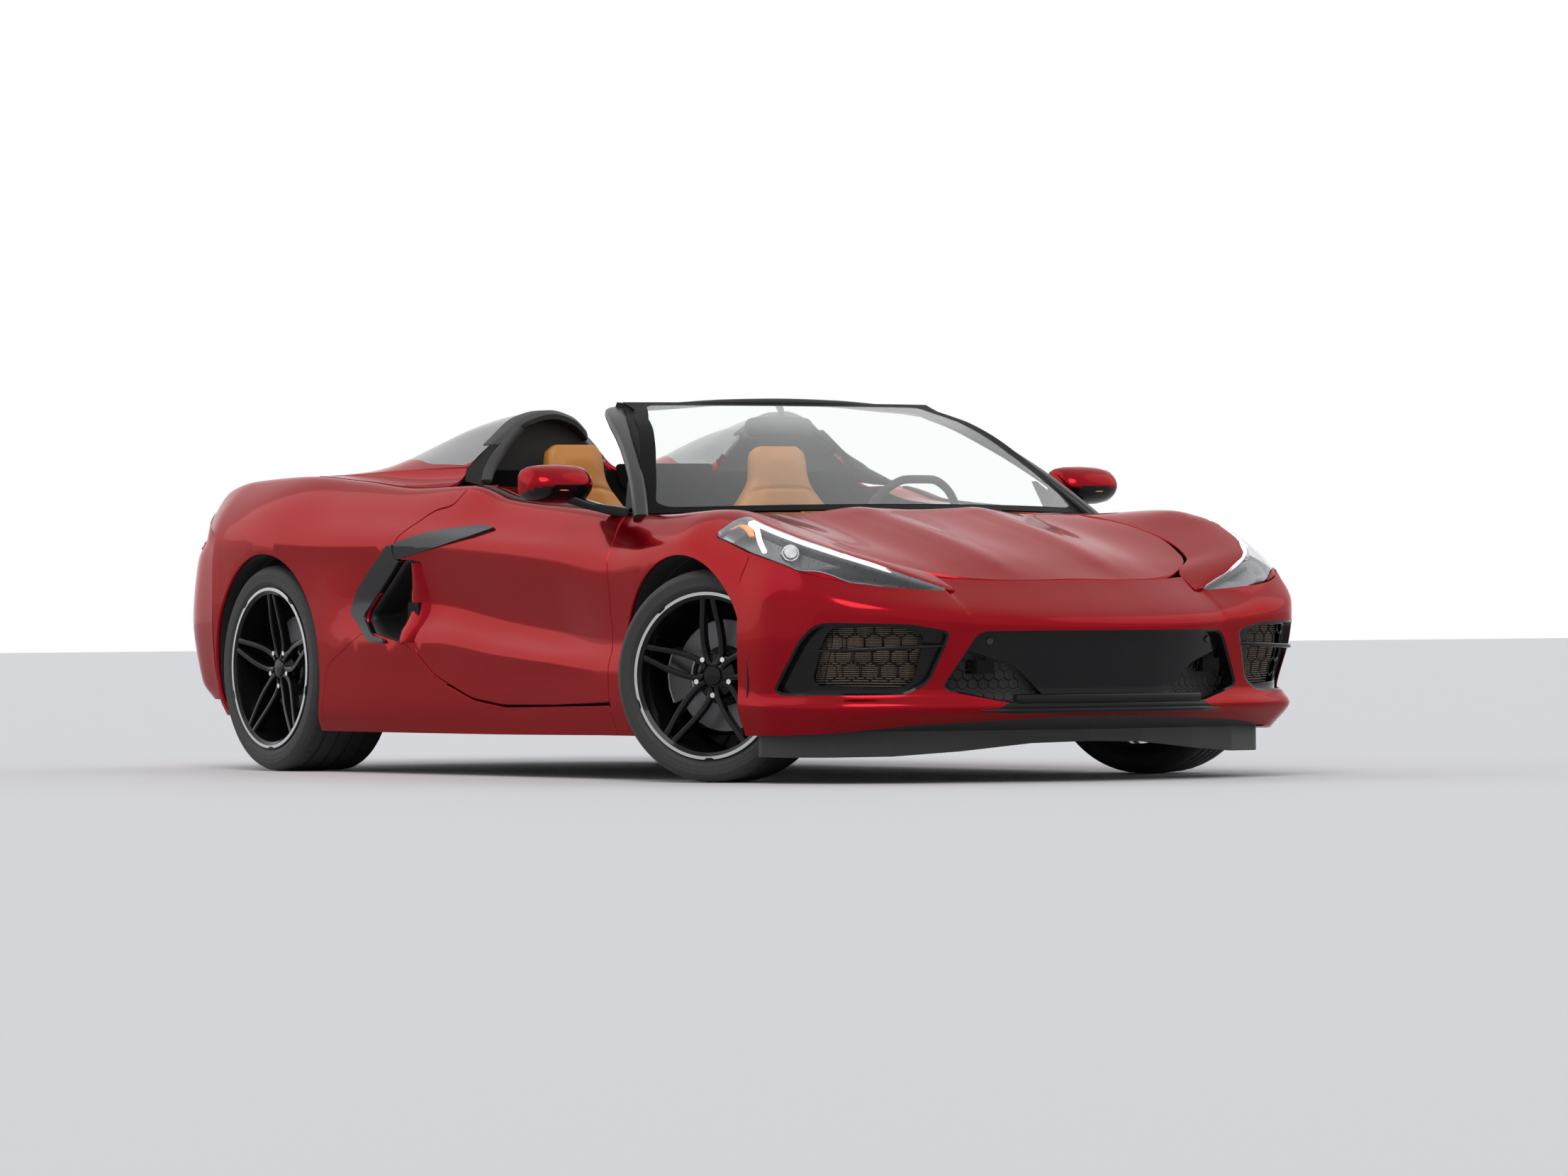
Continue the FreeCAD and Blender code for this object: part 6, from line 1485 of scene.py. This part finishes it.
# Seats: foam cushions and backs with raised bolsters and built-in headrests, covered in tan leather that is
# sewn along the middle insert. Each stands on a black plinth; a short cloth pass swells the covers.
seat_middles = {"left": 0.39, "right": -0.39}
# height, front face, half width, depth and forward reach of the bolsters of a seat back
back_rows = ((0.290, -0.150, 0.190, 0.094, 0.020), (0.340, -0.160, 0.222, 0.100, 0.034),
             (0.450, -0.185, 0.238, 0.104, 0.044), (0.600, -0.214, 0.244, 0.102, 0.040),
             (0.740, -0.238, 0.238, 0.094, 0.024), (0.840, -0.254, 0.206, 0.086, 0.010),
             (0.905, -0.262, 0.160, 0.080, 0.002), (0.960, -0.270, 0.124, 0.074, 0.0),
             (1.030, -0.280, 0.112, 0.066, 0.0), (1.068, -0.287, 0.100, 0.056, 0.0),
             (1.084, -0.291, 0.076, 0.036, 0.0))
# place along the car, top, half width, depth below the top and rise of the bolsters of a seat cushion
cushion_rows = ((-0.165, 0.300, 0.200, 0.070, 0.012), (-0.120, 0.312, 0.225, 0.086, 0.022),
                (0.000, 0.318, 0.234, 0.092, 0.030), (0.140, 0.326, 0.236, 0.096, 0.030),
                (0.240, 0.332, 0.230, 0.096, 0.020), (0.292, 0.322, 0.214, 0.084, 0.010),
                (0.312, 0.304, 0.190, 0.056, 0.0))
back_seams = (((-0.112, 0.33), (-0.120, 0.60), (-0.116, 0.76), (-0.080, 0.845), (0.0, 0.868), (0.080, 0.845),
               (0.116, 0.76), (0.120, 0.60), (0.112, 0.33)),
              ((-0.142, 0.915), (-0.06, 0.930), (0.06, 0.930), (0.142, 0.915)))
cushion_seams = (((-0.12, -0.118), (0.05, -0.124), (0.22, -0.120), (0.272, -0.085), (0.28, 0.0),
                  (0.272, 0.085), (0.22, 0.120), (0.05, 0.124), (-0.12, 0.118)),
                 ((0.085, -0.122), (0.090, 0.0), (0.085, 0.122)))
swell_cap, seam_depth, seam_breadth, stitch_offset, stitch_pitch = 0.012, 0.0045, 0.007, 0.0062, 0.0072
plinth_rim = ((-205, 203), (290, 203), (296, 250), (-160, 262), (-222, 470), (-268, 760), (-292, 760),
              (-262, 420))
mat_rim = ((340, -200), (860, -200), (880, 120), (860, 215), (340, 215))
thread = grained("sewing_thread", (0.62, 0.45, 0.28), (0.75, 0.56, 0.36), scale=900.0, rough=(0.6, 0.8),
                 bump=0.4)


def superring(half, depth, bolster, count=44):
    """(across, outwards) of a soft section: flat inside, rounded sides, bolsters on the face side."""
    turns = 2 * math.pi * np.arange(count) / count
    c, s = np.cos(turns), np.sin(turns)
    across = half * np.sign(c) * np.abs(c) ** 0.62
    raised = np.where(s > -0.2, bolster * (np.abs(across) / half) ** 2.4, 0)
    outward = depth / 2 * np.sign(s) * np.abs(s) ** 0.5 + raised
    return np.stack([across, outward], axis=1)


def applied(form):
    """Makes what the form's modifiers give its own mesh, and takes them off."""
    form.data = bpy.data.meshes.new_from_object(form.evaluated_get(bpy.context.evaluated_depsgraph_get()))
    form.modifiers.clear()


def padded_cover(name, rings, cap):
    """A closed soft form: remeshed, swollen by cloth pressure within a cap, and smoothed once."""
    bm = bmesh.new()
    skin_between(bm, rings)
    form = finished(name, bm)
    remesh = form.modifiers.new("even", "REMESH")
    remesh.mode, remesh.voxel_size = "VOXEL", 0.009
    applied(form)
    rest_points = np.array([v.co[:] for v in form.data.vertices])
    cloth = form.modifiers.new("swell", "CLOTH")
    cloth.settings.quality = 4
    cloth.settings.use_pressure = True
    cloth.settings.uniform_pressure_force = 4.0
    cloth.settings.effector_weights.gravity = 0.0
    for frame_number in range(1, 21):
        bpy.context.scene.frame_set(frame_number)
    swollen = form.evaluated_get(bpy.context.evaluated_depsgraph_get()).data
    moved = np.array([v.co[:] for v in swollen.vertices]) - rest_points
    length = np.linalg.norm(moved, axis=1, keepdims=True)
    moved *= np.minimum(1, cap / np.maximum(length, 1e-9))
    form.modifiers.clear()
    bpy.context.scene.frame_set(1)
    for vert, place in zip(form.data.vertices, rest_points + moved):
        vert.co = place
    smooth = form.modifiers.new("round", "SUBSURF")
    smooth.levels = smooth.render_levels = 1
    applied(form)
    return form


def sewn(form, seams, axes, facing):
    """Presses sewn channels into the face; gives points, runs and normals of the stitches beside them."""
    mesh = form.data
    points = np.array([v.co[:] for v in mesh.vertices])
    normals = np.array([v.normal[:] for v in mesh.vertices])
    face_side = normals @ facing > 0.25
    depth = np.zeros(len(points))
    tree = BVHTree.FromPolygons([tuple(p) for p in points], [tuple(f.vertices) for f in mesh.polygons])
    stitches = []
    for seam in seams:
        line = smooth_path([(*p, 0) for p in seam], 160)[:, :2]
        gaps = np.linalg.norm(points[:, None, axes] - line[None], axis=2).min(axis=1)
        depth = np.maximum(depth, seam_depth * np.exp(-(gaps / seam_breadth) ** 2) * face_side)
        reach = np.concatenate([[0], np.cumsum(np.linalg.norm(np.diff(line, axis=0), axis=1))])
        at = np.arange(0.004, reach[-1], stitch_pitch)
        middle, ahead_of = (np.stack([np.interp(at + step, reach, line[:, k]) for k in (0, 1)], axis=1)
                            for step in (0, 0.002))
        run = ahead_of - middle
        run /= np.maximum(np.linalg.norm(run, axis=1, keepdims=True), 1e-9)
        for offset in (-stitch_offset, stitch_offset):
            for place, way in zip(middle + run[:, ::-1] * (offset, -offset), run):
                start, heading = facing * 2.0, np.zeros(3)
                start[axes] += place
                heading[axes] = way
                hit, normal, _, _ = tree.ray_cast(Vector(start), Vector(-facing))
                if hit is not None:
                    stitches.append((hit[:], heading, normal[:]))
    for vert, place in zip(mesh.vertices, points - normals * depth[:, None]):
        vert.co = place
    mesh.polygons.foreach_set("use_smooth", [True] * len(mesh.polygons))
    return [np.array(column) for column in zip(*stitches)]


back_z = np.linspace(back_rows[0][0], back_rows[-1][0], 34)
back_rings = [[(front - deep / 2 + b, a, z) for a, b in superring(half, deep, bolster)]
              for z, (front, half, deep, bolster) in zip(back_z, curve_through(back_rows, back_z))]
cushion_x = np.linspace(cushion_rows[0][0], cushion_rows[-1][0], 26)
cushion_rings = [[(x, a, top - deep / 2 + b) for a, b in superring(half, deep, bolster)]
                 for x, (top, half, deep, bolster) in zip(cushion_x, curve_through(cushion_rows, cushion_x))]
seat_forms = {
    "back": (padded_cover("seat_back_form", back_rings, swell_cap), back_seams, [1, 2],
             np.array((1.0, 0, 0))),
    "cushion": (padded_cover("seat_cushion_form", cushion_rings, swell_cap), cushion_seams, [0, 1], upright),
}
for part_name, (form, seams, axes, facing) in seat_forms.items():
    stitch_points, stitch_runs, stitch_normals = sewn(form, seams, axes, facing)
    for name, middle_y in seat_middles.items():
        own = form.data.copy()
        own.transform(Matrix.Translation((0, middle_y, 0)))
        pad = dress(in_scene(f"seat_{part_name}_{name}", own), "body", tan_leather)
        places = stitch_points + stitch_normals * 0.0003 + (0, middle_y, 0)
        on_points(f"seat_{part_name}_stitches_{name}", "stitch", places, stitch_runs, stitch_normals, thread,
                  "body", smooth=True, Size=(0.0048, 0.0011, 0.0009))
    bpy.data.objects.remove(form)
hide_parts("seats")


def side_moulding(name, outline, low, high, soft, finish, *stands_for):
    """A closed moulding with an (x, z) outline in metres between two y places, its edges rounded."""
    inset = ((low, soft), (low + soft * 0.3, soft * 0.3), (low + soft, 0), (high - soft, 0),
             (high - soft * 0.3, soft * 0.3), (high, soft))
    lofted(name, [[(x, y, z) for x, z in widened(outline, -shrink)] for y, shrink in inset], 50, "body",
           finish, *stands_for)


for name, middle_y in seat_middles.items():
    side_moulding(f"seat_plinth_{name}", rounded(plinth_rim, 20, 12), middle_y - 0.225, middle_y + 0.225,
                  0.012, dull_black)
    lofted(f"floor_mat_{name}", [[(x, middle_y + y, z) for x, y in rounded(mat_rim, 40)]
                                 for z in (0.1645, 0.171)], 50, "body", liner_felt)

# Dashboard, console and steering wheel: soft black leather over foam, with a hood over the gauges, a tall
# console that runs down between the seats, and a small squared wheel with three spokes and a plain pad.
dash_rim = ((925, 470), (925, 790), (800, 832), (640, 800), (600, 740), (650, 640), (780, 560), (820, 470))
screen_rim = ((-104, -62), (104, -62), (104, 62), (-104, 62))
console_rim = ((860, 334), (-310, 334), (-312, 470), (100, 462), (560, 560), (680, 640), (760, 640),
               (790, 560), (860, 500))
console_armrest_rim = ((-300, 462), (92, 456), (96, 472), (60, 486), (-250, 494), (-300, 490))
hub_rim = ((-58, -30), (-44, -52), (44, -52), (58, -30), (52, 36), (-52, 36))
gauge_y, wheel_radius, squareness = 0.39, 0.176, 3.2
dash_line = rounded(dash_rim, 60, 14)
rings = []
for y in np.linspace(-0.737, 0.737, 90):
    hood = 0.030 * math.exp(-((y - gauge_y) / 0.165) ** 4)
    dip = 0.012 * math.exp(-((y + gauge_y) / 0.2) ** 4)
    edge = max(0.0, (abs(y) - 0.70) / 0.037) ** 2 * 0.012
    rings.append([(x - (hood * 0.8 if x < 0.68 and z > 0.72 else 0), y,
                   z + (hood - dip) * max(0, min(1, (z - 0.70) / 0.08)) * max(0, min(1, (0.80 - x) / 0.08)))
                  for x, z in widened(dash_line, -edge)])
lofted("dash_top", rings, 50, "body", soft_black, "dashboard")
dash_tree = BVHTree.FromObject(bpy.data.objects["dash_top"], bpy.context.evaluated_depsgraph_get())
for row, seam_x in enumerate((0.690, 0.697)):
    hits = [dash_tree.ray_cast(Vector((seam_x, y, 1.5)), Vector((0, 0, -1)))[:2]
            for y in np.arange(-0.70, 0.701, 0.0075)]
    seam_points, seam_normals = (np.array([column[:] for column in found]) for found in zip(*hits))
    on_points(f"dash_stitches_{row}", "stitch", seam_points, (0, 1.0, 0), seam_normals, thread, "body",
              smooth=True, Size=(0.0050, 0.0012, 0.0010))
screen_turn = (Matrix.Translation((0.585, 0.115, 0.745)) @ Matrix.Rotation(math.radians(12), 4, "Z")
               @ Matrix.Rotation(math.radians(16), 4, "Y"))
lofted("dash_screen", [[screen_turn @ Vector((x, y * k, z * k)) for y, z in rounded(screen_rim, 14, 6)]
                       for x, k in ((0.012, 0.96), (0.009, 1.0), (0.002, 1.0), (0.0, 0.985))],
       35, "body", frit)
side_moulding("console_cover", rounded(console_rim, 30, 12), -0.104, 0.104, 0.014, soft_black, "console")
side_moulding("console_armrest", rounded(console_armrest_rim, 14, 8), -0.088, 0.088, 0.012, tan_leather)
key_x = np.linspace(0.22, 0.62, 14)
key_z = np.interp(key_x, (0.1, 0.56, 0.68), (0.462, 0.560, 0.640)) + 0.001
on_points("console_keys", "stud", [(x, 0.078, z) for x, z in zip(key_x, key_z)], (1.0, 0, 0.2), (-0.2, 0, 1),
          gloss_black, "body", Sides=12, Foot_Radius=0.009, Head_Radius=0.008, Height=0.005)
wheel_place = Matrix.Translation((0.500, gauge_y, 0.785)) @ Matrix.Rotation(math.radians(22), 4, "Y")
wheel_axis = np.array((wheel_place.to_3x3() @ Vector((-1, 0, 0)))[:])
grip_turns = 2 * math.pi * np.arange(96) / 96
grip_reach = wheel_radius * 0.97 / (np.abs(np.cos(grip_turns)) ** squareness
                                    + np.abs(np.sin(grip_turns)) ** squareness) ** (1 / squareness)
grip_points = np.array([wheel_place @ Vector((0, r * math.cos(t), r * math.sin(t)))
                        for t, r in zip(grip_turns, np.minimum(grip_reach, 0.179))])
grip_bm = bmesh.new()
round_loop(grip_bm, grip_points, np.broadcast_to(wheel_axis, grip_points.shape),
           [(0.0135 * math.cos(a), 0.0145 * math.sin(a)) for a in 2 * math.pi * np.arange(14) / 14])
for way_y, way_z in ((1, 0.05), (-1, 0.05), (0, -1)):
    line = [(wheel_place @ Vector((0.004, way_y * r, way_z * r)))[:] for r in np.linspace(0.035, 0.168, 12)]
    swept(grip_bm, line, soft_section(0.034, 0.014, 0.005), wheel_axis,
          np.interp(np.arange(12), (0, 5, 11), (1.2, 0.8, 1.0)))
dress(finished("steering_grip", grip_bm, 50), "body", soft_black, "steering_wheel")
pad_steps = ((0.030, 0.8), (0.0, 1.0), (-0.012, 0.97), (-0.020, 0.86), (-0.0235, 0.6), (-0.0245, 0.2))
lofted("steering_pad", [[wheel_place @ Vector((x, y * k, z * k)) for y, z in rounded(hub_rim, 22, 6)]
                        for x, k in pad_steps], 40, "body", soft_black)
rail("steering_column", [(wheel_place @ Vector((x, 0, 0)))[:] for x in np.linspace(0.025, 0.20, 8)],
     soft_section(0.060, 0.056, 0.018), 50, "body", dull_black, upward=(0, 1, 0))
